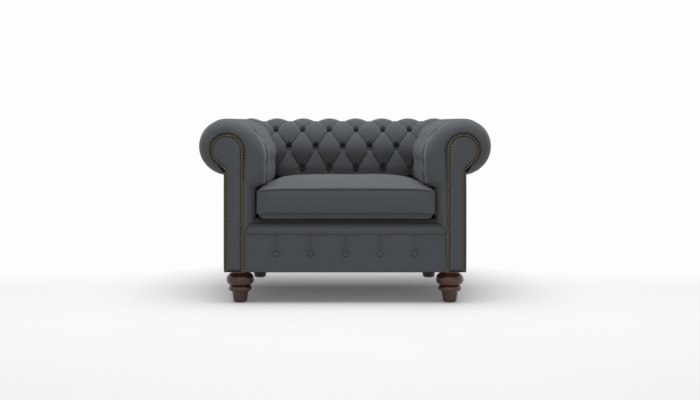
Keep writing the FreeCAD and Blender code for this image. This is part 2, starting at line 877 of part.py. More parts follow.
def front_of_seat():
    """The padded lip, the plain border below it and the border's buttons."""
    half = arm_roll_x - frame_inner_u - border_end_gap
    pad_front_y = board_back_y + rail_thickness - hessian_overlap
    lip_front_y = board_back_y - lip_stuffing
    roll_top_z = deck_top_z - lining_thickness
    lip = box((-half, lip_front_y, lip_bottom_z), (half, pad_front_y, deck_top_z))
    lip = lip.cut(box((-half, board_back_y, lip_bottom_z), (half, pad_front_y, roll_top_z)))
    lip = rounded(lip, lip_round, lip_front_y, deck_top_z, -half, half)
    lip = rounded(lip, border_round, lip_front_y, lip_bottom_z, -half, half)
    face_y = board_back_y - border_stuffing
    border = box((-half, face_y, base_z), (half, board_back_y, lip_bottom_z))
    border = rounded(border, border_round, face_y, lip_bottom_z, -half, half)
    border = rounded(border, border_round, face_y, base_z, -half, half)
    out = Vector(0, -1, 0)
    tools = []
    shapes = []
    middle = (border_button_count - 1) / 2
    for index in range(border_button_count):
        x = (index - middle) * border_button_spacing
        seat = Vector(x, face_y + border_dimple_depth, border_button_z)
        shapes.append(button(seat, out))
        low_radius = button_radius + button_seat_slack
        flare = border_dimple_depth * math.tan(math.radians(dimple_flare))
        tools.append(Part.makeCone(low_radius, low_radius + 2 * flare, 2 * border_dimple_depth, seat, out))
        spread = border_pleat_depth * math.tan(math.radians(pleat_half_angle)) * 2
        points = [
            Vector(x, face_y + border_pleat_depth, border_button_z),
            Vector(x - spread, face_y - border_pleat_depth, border_button_z),
            Vector(x + spread, face_y - border_pleat_depth, border_button_z),
        ]
        groove = Part.Face(Part.makePolygon(points + points[:1]))
        tools.append(groove.extrude(Vector(0, 0, lip_bottom_z - border_button_z)))
    return {"front_lip": lip, "front_border": border.cut(tools), "border_buttons": Part.makeCompound(shapes)}


# Outside

def outside():
    """Outside arm panels, outside back panel and dust cover."""
    panel_x = frame_outer_x + panel_thickness
    panel_y = frame_rear_y + panel_thickness
    arm = box((-panel_x, board_front_y - facing_thickness / 2, base_z), (-frame_outer_x, panel_y, outside_top_z))
    back = box((-frame_outer_x, frame_rear_y, base_z), (frame_outer_x, panel_y, outside_top_z))
    half = frame_outer_x - dust_cover_inset
    front_y = board_front_y + dust_cover_inset
    sheet_z = base_z - dust_cover_thickness
    sheet = box((-half, front_y, sheet_z), (half, frame_rear_y - dust_cover_inset, base_z))
    holes = []
    for x, y in foot_places().values():
        holes.append(Part.makeCylinder(foot_collar[0] + foot_hole_gap, 10, Vector(x, y, sheet_z - 5)))
    return {
        "outside_arm_panel_left": arm,
        "outside_arm_panel_right": flipped(arm),
        "outside_back_panel": back,
        "dust_cover": sheet.cut(holes),
    }


# Feet

def foot():
    """A turned foot with its bolt hole, standing at the origin."""
    def ring(point):
        return Vector(point[0], 0, point[1])

    def curve(start, middle, end):
        return Part.Arc(ring(start), ring(middle), ring(end)).toShape()

    def straight(start, end):
        return Part.LineSegment(ring(start), ring(end)).toShape()

    tip = (foot_tip_radius, 0.0)
    swell = (foot_tip_radius + 0.8 * (foot_ankle[0] - foot_tip_radius), foot_ankle[1] * 0.35)
    top = (foot_collar[0], base_z)
    edges = [
        straight((0, 0), tip),
        curve(tip, swell, foot_ankle),
        straight(foot_ankle, foot_neck),
        curve(foot_neck, foot_bead, foot_waist),
        curve(foot_waist, foot_bulb, foot_collar),
        straight(foot_collar, top),
        straight(top, (0, base_z)),
        straight((0, base_z), (0, 0)),
    ]
    body = Part.Face(Part.Wire(edges)).revolve(Vector(0, 0, 0), Vector(0, 0, 1), 360)
    hole = Part.makeCylinder(bolt_radius, bolt_depth_in_foot, Vector(0, 0, base_z - bolt_depth_in_foot))
    return body.cut(hole)


def feet():
    """Four feet, their bolts and the tee nuts in the corner blocks."""
    parts = {}
    bolts = []
    nuts = []
    block_top = base_z + corner_block_height
    low_z = base_z - bolt_depth_in_foot
    bolt_length = block_top + bolt_stand_out - low_z
    for name, (x, y) in foot_places().items():
        shape = foot()
        shape.translate(Vector(x, y, 0))
        parts[name] = shape
        bolts.append(Part.makeCylinder(bolt_radius, bolt_length, Vector(x, y, low_z)))
        barrel_z = block_top - nut_barrel_length
        barrel = Part.makeCylinder(nut_barrel_radius, nut_barrel_length, Vector(x, y, barrel_z))
        flange = Part.makeCylinder(nut_flange_radius, nut_flange_thickness, Vector(x, y, block_top))
        bore = Part.makeCylinder(bolt_radius, corner_block_height, Vector(x, y, barrel_z))
        nuts.append(barrel.fuse(flange).cut(bore))
    parts["foot_bolts"] = Part.makeCompound(bolts)
    parts["foot_nuts"] = Part.makeCompound(nuts)
    return parts


# Seat cushion

def cushion_ring(inset, z, swell=0.0):
    """One level of the cushion: round corners, drawn-in sides and straight front and back."""
    half = cushion_half_width - inset
    front_y = cushion_front_y + inset - swell
    rear_y = cushion_rear_y - inset
    radius = cushion_corner_radius
    slant = radius * (1 - math.sqrt(0.5))
    middle_y = (front_y + rear_y) / 2
    corners = []
    for side in (1, -1):
        corners.append([
            Vector(side * (half - radius), front_y, z),
            Vector(side * (half - slant), front_y + slant, z),
            Vector(side * half, front_y + radius, z),
            Vector(side * (half - cushion_side_draw), middle_y, z),
            Vector(side * half, rear_y - radius, z),
            Vector(side * (half - slant), rear_y - slant, z),
            Vector(side * (half - radius), rear_y, z),
        ])
    right, left = corners
    left = left[::-1]
    edges = []
    for walk in (right, left):
        for index in (0, 2, 4):
            edges.append(Part.Arc(walk[index], walk[index + 1], walk[index + 2]).toShape())
        following = left if walk is right else right
        edges.append(Part.LineSegment(walk[6], following[0]).toShape())
    return Part.Wire(edges)


def cushion_body(skin):
    """The cushion's levels: a hanging bottom, upright boxing that swells forward, and a domed crown."""
    low_seam = cushion_low_seam_z + skin
    top_seam = cushion_top_seam_z - skin
    hang = low_seam - cushion_bottom_z - skin
    rise = cushion_crown_z - skin - top_seam
    rings = []
    for index in range(cushion_levels, 0, -1):
        share = index / cushion_levels
        rings.append(cushion_ring(skin + cushion_hang_run * share, low_seam - hang * (1 - (1 - share) ** 2)))
    rings.append(cushion_ring(skin, low_seam))
    rings.append(cushion_ring(skin, (low_seam + top_seam) / 2, cushion_front_bulge))
    rings.append(cushion_ring(skin, top_seam))
    for index in range(1, cushion_levels + 1):
        share = index / cushion_levels
        height = rise * (1 - (1 - share) ** cushion_crown_power)
        rings.append(cushion_ring(skin + cushion_crown_run * share, top_seam + height))
    return Part.makeLoft(rings, True, True)


def cushion():
    """The loose cushion: cloth, foam, the zip in its rear boxing and the zip's slider."""
    inner = cushion_body(cushion_cloth)
    strip_low = (-zip_length / 2, cushion_rear_y, zip_z - zip_height / 2)
    strip_high = (zip_length / 2, cushion_rear_y + zip_thickness, zip_z + zip_height / 2)
    slider_y = cushion_rear_y + zip_thickness + slider_gap
    slider_x = -zip_length / 2 + slider_end_room + slider_length / 2
    slider_low = (slider_x - slider_length / 2, slider_y, zip_z - slider_height / 2)
    slider_high = (slider_x + slider_length / 2, slider_y + slider_thickness, zip_z + slider_height / 2)
    pull_y = slider_y + slider_thickness
    pull_low = (slider_x - pull_width / 2, pull_y, zip_z - pull_length)
    pull_high = (slider_x + pull_width / 2, pull_y + pull_thickness, zip_z + pull_width / 2)
    slider = box(slider_low, slider_high).fuse(box(pull_low, pull_high)).removeSplitter()
    return {
        "cushion_cover": cushion_body(0.0).cut(inner),
        "cushion_foam": inner,
        "cushion_zip": box(strip_low, strip_high),
        "zip_slider": slider,
    }


def chair():
    """Every piece by name."""
    parts = timber()
    parts.update(seat_deck([parts["back_former_left"], parts["back_former_right"]]))
    parts.update(front_of_seat())
    parts.update(upholstery())
    parts["facing_left"] = facing()
    parts["facing_right"] = flipped(facing())
    parts["facing_nails_left"] = nails()
    parts["facing_nails_right"] = flipped(nails())
    parts.update(outside())
    parts.update(feet())
    parts.update(cushion())
    return parts


os.makedirs("parts", exist_ok=True)
for name, shape in chair().items():
    solids = shape.Solids
    print(name, len(solids), round(sum(solid.Volume for solid in solids) / 1e3), shape.isValid())
    shape.exportStep("parts/" + name + ".step")
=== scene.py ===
# %% [markdown]
# # A deep-buttoned armchair with scroll arms
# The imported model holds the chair's solids: timber, springs, foam, covers, feet and a loose seat cushion.
# This script loads it as a fixed frame and dresses it: every soft solid gets a piece with real folds and
# seams, and the hard solids that stay get a finish. Lengths below are in millimetres until a mesh is made.

# %% Load the frame
import json
import math

import bmesh
import bpy
import numpy as np
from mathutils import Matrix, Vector
from mathutils.noise import noise

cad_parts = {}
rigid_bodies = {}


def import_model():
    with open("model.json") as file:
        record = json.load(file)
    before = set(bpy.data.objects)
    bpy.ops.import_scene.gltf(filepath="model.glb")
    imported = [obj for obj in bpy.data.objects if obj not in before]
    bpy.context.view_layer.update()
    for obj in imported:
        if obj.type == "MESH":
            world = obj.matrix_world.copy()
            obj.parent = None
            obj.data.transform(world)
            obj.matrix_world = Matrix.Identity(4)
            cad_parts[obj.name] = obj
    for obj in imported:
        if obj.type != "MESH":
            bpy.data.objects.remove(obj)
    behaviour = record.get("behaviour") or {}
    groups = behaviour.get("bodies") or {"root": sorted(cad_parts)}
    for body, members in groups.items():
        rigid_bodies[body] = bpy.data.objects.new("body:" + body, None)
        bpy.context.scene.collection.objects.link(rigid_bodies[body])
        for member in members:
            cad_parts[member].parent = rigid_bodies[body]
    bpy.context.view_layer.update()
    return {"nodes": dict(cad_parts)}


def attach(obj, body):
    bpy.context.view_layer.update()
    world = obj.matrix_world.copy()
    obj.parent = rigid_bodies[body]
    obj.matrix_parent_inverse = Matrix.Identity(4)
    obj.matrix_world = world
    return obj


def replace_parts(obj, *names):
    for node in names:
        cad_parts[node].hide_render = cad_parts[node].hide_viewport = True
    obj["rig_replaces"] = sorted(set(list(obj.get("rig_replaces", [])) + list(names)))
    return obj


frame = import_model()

MM = 0.001

# %% [markdown]
# ## Camera
# The photograph is taken straight from the front with a level camera, a little above the arms. Such a
# picture has upright lines, so the camera isn't tilted: the frame is moved down with the lens shift, as
# with a view camera. The distance comes from how much smaller the rear feet look than the front ones.

# %% Camera
eye = Vector((-0.0175, -4.435, 0.6963))
bpy.ops.object.camera_add(location=eye, rotation=(math.radians(90), 0, 0))
camera = bpy.context.object
camera.name = "photo_camera"
camera.data.lens = 53.9
camera.data.shift_x = 0.0136
camera.data.shift_y = -0.1114
bpy.context.scene.camera = camera
print("camera", tuple(eye), "lens", camera.data.lens)

# %% [markdown]
# ## Shader arithmetic
# A finish is worked out from patterns by sums and products. Written as nodes one by one that is long, so
# one small class wraps a socket and makes Python's operators add the Math nodes. Everything else that a
# finish needs comes from one method, which sets a node's settings first and its sockets after.

# %% A socket that can be calculated with
class Amount:
    def __init__(self, nodes, socket):
        self.nodes = nodes
        self.socket = socket

    def maths(self, operation, *others, swapped=False):
        terms = [self, *others]
        if swapped:
            terms.reverse()
        return self.nodes.node("Math", {"operation": operation}, dict(enumerate(terms)))

    def __add__(self, other):
        return self.maths("ADD", other)

    def __sub__(self, other):
        return self.maths("SUBTRACT", other)

    def __rsub__(self, other):
        return self.maths("SUBTRACT", other, swapped=True)

    def __mul__(self, other):
        return self.maths("MULTIPLY", other)

    def within(self, low, high):
        """0 below low, 1 above high and a straight slope between."""
        settings = {"clamp": True}
        return self.nodes.node("MapRange", settings, {"Value": self, "From Min": low, "From Max": high})

    __radd__ = __add__
    __rmul__ = __mul__


# %% A node tree, and a finish made in one
class Nodes:
    def __init__(self, tree):
        self.tree = tree

    def put(self, socket, value):
        if isinstance(value, Amount):
            self.tree.links.new(value.socket, socket)
        else:
            socket.default_value = value

    def node(self, kind, settings=None, sockets=None, out=0):
        made = self.tree.nodes.new("ShaderNode" + kind)
        for key, value in (settings or {}).items():
            setattr(made, key, value)
        for key, value in (sockets or {}).items():
            self.put(made.inputs[key], value)
        return Amount(self, made.outputs[out])

    def seen_directly(self):
        """1 for what the camera, a reflection or glass shows, 0 for light that falls on things."""
        camera_ray = self.node("LightPath", out="Is Camera Ray")
        glossy_ray = self.node("LightPath", out="Is Glossy Ray")
        clear_ray = self.node("LightPath", out="Is Transmission Ray")
        return (camera_ray + glossy_ray + clear_ray).within(0, 1)


class Finish(Nodes):
    def __init__(self, name, **constants):
        self.material = bpy.data.materials.new(name)
        self.material.use_nodes = True
        super().__init__(self.material.node_tree)
        self.shader = self.tree.nodes["Principled BSDF"]
        for socket, value in constants.items():
            self.shader.inputs[socket.replace("_", " ")].default_value = value

    def give(self, socket, value):
        self.put(self.shader.inputs[socket], value)

    def mixed(self, share, first, second):
        """Two colours mixed by an amount."""
        settings = {"data_type": "RGBA"}
        return self.node("Mix", settings, {"Factor": share, 6: first, 7: second}, out=2)

    def relief(self, height, distance, strength=1.0):
        """A height in 0 to 1 that the light sees as relief, distance metres deep."""
        sockets = {"Height": height, "Distance": distance, "Strength": strength}
        self.give("Normal", self.node("Bump", None, sockets))


# %% Patterns that several finishes use
def rgb(red, green, blue):
    return (red, green, blue, 1.0)


def place_on_object(finish):
    return finish.node("TexCoord", None, None, out=3)


def place_on_cloth(finish):
    """The piece's own cloth map, in metres along and across the threads."""
    return finish.node("UVMap", {"uv_map": "cloth"})


def scaled(finish, place, scale, turn=(0, 0, 0)):
    return finish.node("Mapping", None, {"Vector": place, "Scale": scale, "Rotation": turn})


def speckle(finish, place, scale, detail=2.0):
    return finish.node("TexNoise", None, {"Vector": place, "Scale": scale, "Detail": detail})


# %% [markdown]
# ## Charcoal upholstery cloth
# The cloth is a fine, matt charcoal grey with a slightly cool cast. Close up it is a plain weave of
# slubby threads, from afar it is even, lighter where it is seen at a glancing angle. A picture of cloth
# would tile and blur, so the threads are made from sines on the piece's own cloth map in metres, which
# follows the folds. Creases, wells and seams are darkened with painted shade; a number called
# painted_shade on the mesh says how dark each point is painted.

# %% Charcoal cloth
def thread_pattern(finish, place, pitch):
    """Heights of warp and weft threads, crossing over and under."""
    across = finish.node("SeparateXYZ", None, {0: place}, out=0) * (math.pi / pitch)
    along = finish.node("SeparateXYZ", None, {0: place}, out=1) * (math.pi / pitch)
    warp = across.maths("SINE")
    weft = along.maths("SINE")
    over = (warp * weft).maths("SIGN") * 0.5 + 0.5
    return over * warp.maths("ABSOLUTE") + (1 - over) * weft.maths("ABSOLUTE")


def cloth_finish(name, shadow, light, pitch=0.0011, sheen=0.24, roughness=0.92):
    finish = Finish(name, Sheen_Weight=sheen, Sheen_Roughness=0.45, Specular_IOR_Level=0.25)
    finish.shader.inputs["Sheen Tint"].default_value = rgb(0.9, 0.97, 1.0)
    place = place_on_cloth(finish)
    threads = thread_pattern(finish, place, pitch)
    slub = speckle(finish, scaled(finish, place, (900, 90, 1)), 1.0)
    cross_slub = speckle(finish, scaled(finish, place, (90, 900, 1)), 1.0)
    patches = speckle(finish, place_on_object(finish), 14.0, 3.0)
    # Painted shade: the number on the mesh mixes the colour towards a near-black made from the dark tone.
    painted_shade = finish.node("Attribute", {"attribute_name": "painted_shade"}, None, out=2)
    depth = threads * 0.22 + (slub + cross_slub) * 0.3 + patches * 0.25
    shade = finish.mixed(depth.within(0.15, 0.85), shadow, light)
    deep = rgb(*[0.12 * part for part in shadow[:3]])
    tone_with_painted_shade = finish.mixed(painted_shade * 0.9, shade, deep)
    finish.give("Base Color", tone_with_painted_shade)
    finish.give("Roughness", roughness - threads * 0.06)
    finish.relief(threads * 0.8 + slub * 0.3 + cross_slub * 0.3, 0.00022, 0.55)
    return finish.material


charcoal = cloth_finish("charcoal_cloth", rgb(0.048, 0.053, 0.056), rgb(0.083, 0.089, 0.093))
print("charcoal cloth nodes", len(charcoal.node_tree.nodes))

# %% [markdown]
# ## Section of the arms and the back
# Both arms and the back share one section: a roll, a swelling belly, a tuck over the cushion and a
# straight wall behind it. u runs inwards from the middle of the roll, z up. The section is drawn once as a
# dense line of points, softened where cloth can't turn a sharp corner, and read off by the length s along
# the cloth from the underside of the roll.

# %% The section
roll_z, roll_radius = 604.0, 102.0
belly_z, belly_radius = 554.0, 152.0
frame_u = -1.0
base_z = 122.0
scroll_end = 227.5
scroll_centre, scroll_radius = (5.5, 588.0), 61.0
tuck = ((152.0, 500.0), (146.0, 456.0), (109.0, 444.0), (109.0, 323.0))


def circle_line(centre, radius, start, end, step=1.0):
    count = max(2, int(abs(math.radians(end - start)) * radius / step) + 1)
    turns = np.radians(np.linspace(start, end, count))
    return np.column_stack([centre[0] + radius * np.cos(turns), centre[1] + radius * np.sin(turns)])


def straight_line(start, end, step=1.0):
    count = max(2, int(math.dist(start, end) / step) + 1)
    return np.column_stack([np.linspace(start[0], end[0], count), np.linspace(start[1], end[1], count)])


def even_line(points, step=1.0):
    """The same line with points at even spacing, and the length at each point."""
    gaps = np.hypot(*np.diff(points, axis=0).T)
    points = points[np.concatenate([[True], gaps > 1e-6])]
    length = np.concatenate([[0], np.cumsum(np.hypot(*np.diff(points, axis=0).T))])
    at = np.linspace(0, length[-1], int(length[-1] / step) + 1)
    return np.column_stack([np.interp(at, length, points[:, 0]), np.interp(at, length, points[:, 1])]), at


def softened(points, sigma):
    """A line with its corners rounded by a running mean, its ends kept."""
    reach = int(3 * sigma)
    kernel = np.exp(-0.5 * (np.arange(-reach, reach + 1) / sigma) ** 2)
    kernel /= kernel.sum()
    first = 2 * points[0] - points[1:reach + 1][::-1]
    last = 2 * points[-1] - points[-reach - 1:-1][::-1]
    padded = np.vstack([first, points, last])
    return np.column_stack([np.convolve(padded[:, k], kernel, "valid") for k in (0, 1)])


def normals_of(points):
    """Unit normals on the left of the line's direction of travel, which is the stuffed side's outside."""
    way = np.gradient(points, axis=0)
    way /= np.hypot(way[:, 0], way[:, 1])[:, None]
    return np.column_stack([-way[:, 1], way[:, 0]])


under_angle = 360 - math.degrees(math.acos(frame_u / roll_radius))
roll_part = circle_line((0, roll_z), roll_radius, under_angle, 90)
belly_part = circle_line((0, belly_z), belly_radius, 90, 0)
tuck_parts = [straight_line(a, b) for a, b in zip(tuck, tuck[1:])]
belly_foot = straight_line((belly_radius, belly_z), tuck[0])
raw_section = np.vstack([roll_part, belly_part, belly_foot, *tuck_parts])
section, section_s = even_line(raw_section)
section = softened(section, 6.0)
section_normal = normals_of(section)
section_end = section_s[-1]
print("section", round(section_end, 1), "mm of cloth, top", round(section[:, 1].max(), 1))

# %% Reading the section
roll_length = roll_radius * math.radians(under_angle - 90)
row_s = [roll_radius * (math.radians(under_angle) - math.acos(-38.0 / roll_radius))]
for row_z in (665.0, 580.0):
    row_s.append(roll_length + belly_radius * (math.pi / 2 - math.asin((row_z - belly_z) / belly_radius)))
lowest_row_z, leaning = 482.0, 1.009
tuck_top = roll_length + belly_radius * math.pi / 2 + belly_z - tuck[0][1]
row_s.append(tuck_top + (tuck[0][1] - lowest_row_z) * leaning)
row_step = row_s[2] - row_s[1]


def read(table, s):
    return np.interp(s, section_s, table)


def row_number(s):
    """0 to 3 at the four rows of buttons, running on above and below them. The pleats hardly spread on the
    crest, which so shows one wide puff over each button of the second row."""
    crest = [roll_length, roll_length + 45]
    marks = [row_s[0] - 3 * row_step, row_s[0], *crest, *row_s[1:], row_s[3] + 3 * row_step]
    return np.interp(s, marks, [-3, 0, 0.12, 0.34, 1, 2, 3, 6])


print("rows at", [round(v, 1) for v in row_s])

# %% [markdown]
# ## Making meshes from grids
# The tufted cloth is a surface with thousands of computed points, which no primitive gives. So it is made
# in mesh code: a grid of points with a cloth map, joined into four-sided faces. Doubled points, where the
# grid is squeezed into a mitre, are merged, and the faces are then turned outwards.

# %% Grid helpers
def mesh_piece(name, points, faces, cloth=None, painted_shade=None, weld=0.02):
    """A mesh object from points in mm; cloth gives each point's place on the cloth in mm."""
    mesh = bpy.data.meshes.new(name)
    mesh.from_pydata((np.asarray(points) * MM).tolist(), [], [list(map(int, f)) for f in faces])
    piece = bpy.data.objects.new(name, mesh)
    bpy.context.scene.collection.objects.link(piece)
    if cloth is not None:
        layer = mesh.uv_layers.new(name="cloth")
        corner = np.zeros(len(mesh.loops), np.int32)
        mesh.loops.foreach_get("vertex_index", corner)
        layer.data.foreach_set("uv", (np.asarray(cloth)[corner] * MM).astype(np.float32).ravel())
    # How dark each point's colour is painted, standing in for shade.
    if painted_shade is not None:
        layer = mesh.attributes.new("painted_shade", "FLOAT", "POINT")
        layer.data.foreach_set("value", np.asarray(painted_shade, np.float32))
    body = bmesh.new()
    body.from_mesh(mesh)
    bmesh.ops.remove_doubles(body, verts=body.verts, dist=weld * MM)
    bmesh.ops.recalc_face_normals(body, faces=body.faces)
    body.to_mesh(mesh)
    body.free()
    mesh.shade_smooth()
    return piece


def grid_faces(rows, columns, first=0, around=False):
    """Four-sided faces of a grid of points stored row by row."""
    faces = []
    last = columns if around else columns - 1
    for i in range(rows - 1):
        for j in range(last):
            k = (j + 1) % columns
            a = first + i * columns
            faces.append((a + j, a + k, a + columns + k, a + columns + j))
    return faces


def tube(name, rings, cloth=None, painted_shade=None, weld=0.02):
    """A closed piece from rings of points, joined one to the next and capped at both ends."""
    count, width = rings.shape[:2]
    faces = grid_faces(count, width, around=True)
    faces += [list(range(width)), list(range((count - 1) * width, count * width))]
    flat_cloth = None if cloth is None else cloth.reshape(count * width, -1)
    flat_fold = None if painted_shade is None else np.ravel(painted_shade)
    return mesh_piece(name, rings.reshape(-1, 3), faces, flat_cloth, flat_fold, weld)


def box_cloth(piece):
    """A cloth map in metres from the side that each face looks to."""
    mesh = piece.data
    layer = mesh.uv_layers.get("cloth") or mesh.uv_layers.new(name="cloth")
    for face in mesh.polygons:
        drop = max(range(3), key=lambda k: abs(face.normal[k]))
        keep = [k for k in range(3) if k != drop]
        for corner in face.loop_indices:
            spot = mesh.vertices[mesh.loops[corner].vertex_index].co
            layer.data[corner].uv = (spot[keep[0]], spot[keep[1]])


def dress(piece, finish, body="frame", stands_for=()):
    """Gives a piece its finish, the body that it rides on, and what it stands for."""
    piece.data.materials.clear()
    piece.data.materials.append(finish)
    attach(piece, body)
    if stands_for:
        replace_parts(piece, *stands_for)
    print(piece.name, "faces", len(piece.data.polygons))
    return piece


def mirrored(piece, name):
    """A copy on the other side of the chair, with its own mesh."""
    mesh = piece.data.copy()
    mesh.name = name
    twin = bpy.data.objects.new(name, mesh)
    bpy.context.scene.collection.objects.link(twin)
    body = bmesh.new()
    body.from_mesh(mesh)
    for vert in body.verts:
        vert.co.x = -vert.co.x
    bmesh.ops.reverse_faces(body, faces=body.faces)
    body.to_mesh(mesh)
    body.free()
    return twin


def dress_both(piece, finish, name, part):
    """Dresses a left piece and its mirror image, name_right. part names the solids without their side."""
    dress(piece, finish, stands_for=[part + "_left"])
    dress(mirrored(piece, name + "_right"), finish, stands_for=[part + "_right"])


# %% [markdown]
# ## Deep buttoning
# The cloth is cut larger than the arm, and at each button it is pulled deep into the stuffing. The spare
# cloth is laid in pleats from button to button, so the surface becomes a lattice of puffed diamonds.
# Above the first row the pleats run straight over the roll to the outside, and below the last row straight
# down behind the cushion. The form is a height over the section, worked out from the distance to
# the pleats: sharp at a pleat, full in the middle of a diamond, with a deep well at each button that
# draws small gathers from the diamond above it.

# %% Height of the tufted cloth
spacing = 59.5
puff, crease, well_depth = 8.0, -12.5, 34.5


def share_of_step(value):
    return value - np.floor(value)


def arch(t, power):
    return np.power(np.clip(4 * t * (1 - t), 0, 1), power)


def fullness(x, y, power=0.62):
    """0 on a pleat and 1 in the middle of a puff."""
    first = share_of_step((x + y - 1) / 2)
    second = share_of_step((x - y - 1) / 2)
    diamonds = arch(first, power) * arch(second, power)
    above = share_of_step((x - 1) / 2)
    below = share_of_step(x / 2)
    over_roll = arch(above, 0.8 + (2 * power - 0.8) * np.exp(np.minimum(y, 0) * 4))
    under_belly = arch(below, 0.8 + (2 * power - 0.8) * np.exp(np.minimum(3 - y, 0) * 4))
    return np.where(y < 0, over_roll, np.where(y > 3, under_belly, diamonds))


def tufted_height(a, s, a_ref, seats, crest, seed):
    """Height in mm over the section and share of a button's hole, for places a along and s up the cloth."""
    x = (a - a_ref) / spacing
    y = row_number(s)
    full = 0.62 * fullness(x, y, 0.27) + 0.38 * fullness(x, y, 1.0)
    marks = [0, 60, row_s[0], roll_length, row_s[1] - 30, section_end - 140, section_end - 60]
    strength = np.interp(s, marks, [0.25, 0.5, 0.8, crest, 1, 1, 0.3])
    height = (crease + (puff - crease) * full) * strength
    hole = np.zeros_like(height)
    chance = np.random.default_rng(seed)
    for seat_a, seat_s in seats:
        da = a - seat_a
        ds = s - seat_s
        near = (np.abs(da) < 60) & (np.abs(ds) < 70)
        da, ds = da[near], ds[near]
        reach_s = np.where(ds < 0, 25.0, 9.5)
        r = np.sqrt((da / 12.0) ** 2 + (ds / reach_s) ** 2)
        well = np.exp(-np.power(r, 4.0))
        floor_height = -well_depth + chance.uniform(-0.8, 0.8)
        phase = chance.uniform(-0.6, 0.6)
        rise = np.clip((-ds - 8) / 8, 0, 1) * np.exp(-np.power(np.clip(-ds, 0, None) / 40, 2))
        gathers = 0.5 - 0.5 * np.cos(2 * math.pi * da / 9.5 + phase)
        fan = np.exp(-np.power(da / (10 + 0.2 * np.abs(ds)), 2))
        here = height[near] - 2.6 * gathers * rise * fan
        height[near] = here * (1 - well) + floor_height * well
        hole[near] = np.maximum(hole[near], np.exp(-np.power(r / 0.9, 6.0)))
    return height, hole


# %% [markdown]
# The cover's edges matter as much as its face. At the corner of the chair the arm's cloth and the back's
# cloth meet in a mitre and both dive into the seam, and at the front the tufted cloth is drawn under the
# plain border. Pleats are laid so that the upper diamond hangs slightly over the lower one, which gives
# the crisp dark line seen in the photograph.

# %% A tufted cover
cell = spacing / 26


def edge_dip(distance, reach):
    """1 at an edge, falling to 0 at reach, with a round shoulder."""
    t = np.clip(distance / reach, 0, 1)
    return 1 - np.sqrt(np.clip(1 - (1 - t) ** 2, 0, 1))


def lap(x, y):
    """How far the cloth above a pleat hangs over it, in mm along the cloth."""
    pleat_gap = 101.8
    first = share_of_step((x + y - 1) / 2)
    second = share_of_step((x - y - 1) / 2)
    above = np.minimum(1 - first, second) * pleat_gap
    overhang = above / 4.0 * np.exp(1 - above / 4.0)
    inside = np.clip((y + 0.05) / 0.2, 0, 1) * np.clip((3.1 - y) / 0.2, 0, 1)
    return 3.6 * overhang * inside


def tufted_cover(name, a_ref, seats, limits, to_world, front_dip, crest, seed):
    """The closed cover. limits(u) gives the lowest and highest place along it for a depth u."""
    s = np.concatenate([np.linspace(0, 240, 26)[:-1], np.linspace(240, 665, 190)[:-1],
                        np.linspace(665, section_end, 20)])
    base_u = read(section[:, 0], s)
    dip = 9.0
    low, high = limits(base_u - read(section_normal[:, 0], s) * dip)
    columns = np.arange(low.min(), high.max() + cell, cell)
    a = np.clip(columns[None, :], low[:, None], high[:, None])
    grid_s = np.repeat(s[:, None], len(columns), 1)
    height, hole = tufted_height(a, grid_s, a_ref, seats, crest, seed)
    near_seat = np.zeros_like(a)
    for seat_a, seat_s in seats:
        away = np.hypot(a - seat_a, grid_s - seat_s)
        near_seat = np.maximum(near_seat, np.exp(-(away / 16) ** 2))
    edge = np.maximum(edge_dip(a - low[:, None], front_dip), edge_dip(high[:, None] - a, 22.0))
    height = height * (1 - edge) - dip * edge
    shift = lap((a - a_ref) / spacing, row_number(grid_s)) * (1 - near_seat) * (1 - edge)
    moved = grid_s + shift
    u = read(section[:, 0], moved) + read(section_normal[:, 0], moved) * height
    z = read(section[:, 1], moved) + read(section_normal[:, 1], moved) * height
    inner = softened(section - section_normal * 36, 14.0)
    inner_u, inner_z = read(inner[:, 0], s), read(inner[:, 1], s)
    inner_low, inner_high = limits(inner_u)
    far, near = to_world(inner_u, inner_z, inner_high), to_world(inner_u, inner_z, inner_low)
    rings = np.concatenate([to_world(u, z, a), far[:, None], near[:, None]], axis=1)
    cloth = np.dstack([np.column_stack([a, inner_high, inner_low]), np.column_stack([grid_s, s, s])])
    # Painted shade: dark in the creases and the buttons' wells, full on the hidden inner rows.
    deep = np.ones((len(s), 2))
    painted_shade = np.maximum(np.clip((-height - 5) / 21, 0, 1), hole)
    return tube(name, rings, cloth, np.column_stack([painted_shade, deep]))


# %% The three tufted covers
arm_x, back_y, border_rear = 458.0, 338.0, -340.0


def places(reference, near, far):
    found = []
    place = reference
    while place <= far:
        if place >= near:
            found.append(place)
        place += 2 * spacing
    return found


def seat_places(reference_odd, reference_even, ends, clear_of_mitre, front=None):
    """The buttons' places: rows 0 and 2 on one set of columns, rows 1 and 3 on the other. Without a front
    the cover has a mitre at both ends."""
    seats = []
    for row, s in enumerate(row_s):
        far = ends - read(section[:, 0], s) - clear_of_mitre
        near = -far if front is None else front
        reference = reference_even if row % 2 == 0 else reference_odd
        seats += [(place, s) for place in places(reference, near, far)]
    return seats


def arm_world(u, z, a):
    return np.stack([-arm_x + u, a, z], axis=-1)


def back_world(u, z, a):
    return np.stack([a, back_y - u, z], axis=-1)


arm_column, off_middle = -315.0, -8.0
arm_seats = seat_places(arm_column, arm_column + spacing, back_y, 26, border_rear + 20)
back_seats = seat_places(off_middle - 5 * spacing, off_middle - 6 * spacing, arm_x, 36)
arm_cover = tufted_cover("arm_cover_cloth_left", arm_column, arm_seats,
                         lambda u: (np.full_like(u, border_rear), back_y - u), arm_world, 14.0, 0.5, 11)
back_cover = tufted_cover("back_cover_cloth", off_middle + spacing, back_seats,
                          lambda u: (u - arm_x, arm_x - u), back_world, 22.0, 0.95, 23)
print("buttons on an arm", len(arm_seats), "on the back", len(back_seats))

# %% Their finish
dress_both(arm_cover, charcoal, "arm_cover_cloth", "arm_cover")
dress(back_cover, charcoal, stands_for=["back_cover"])

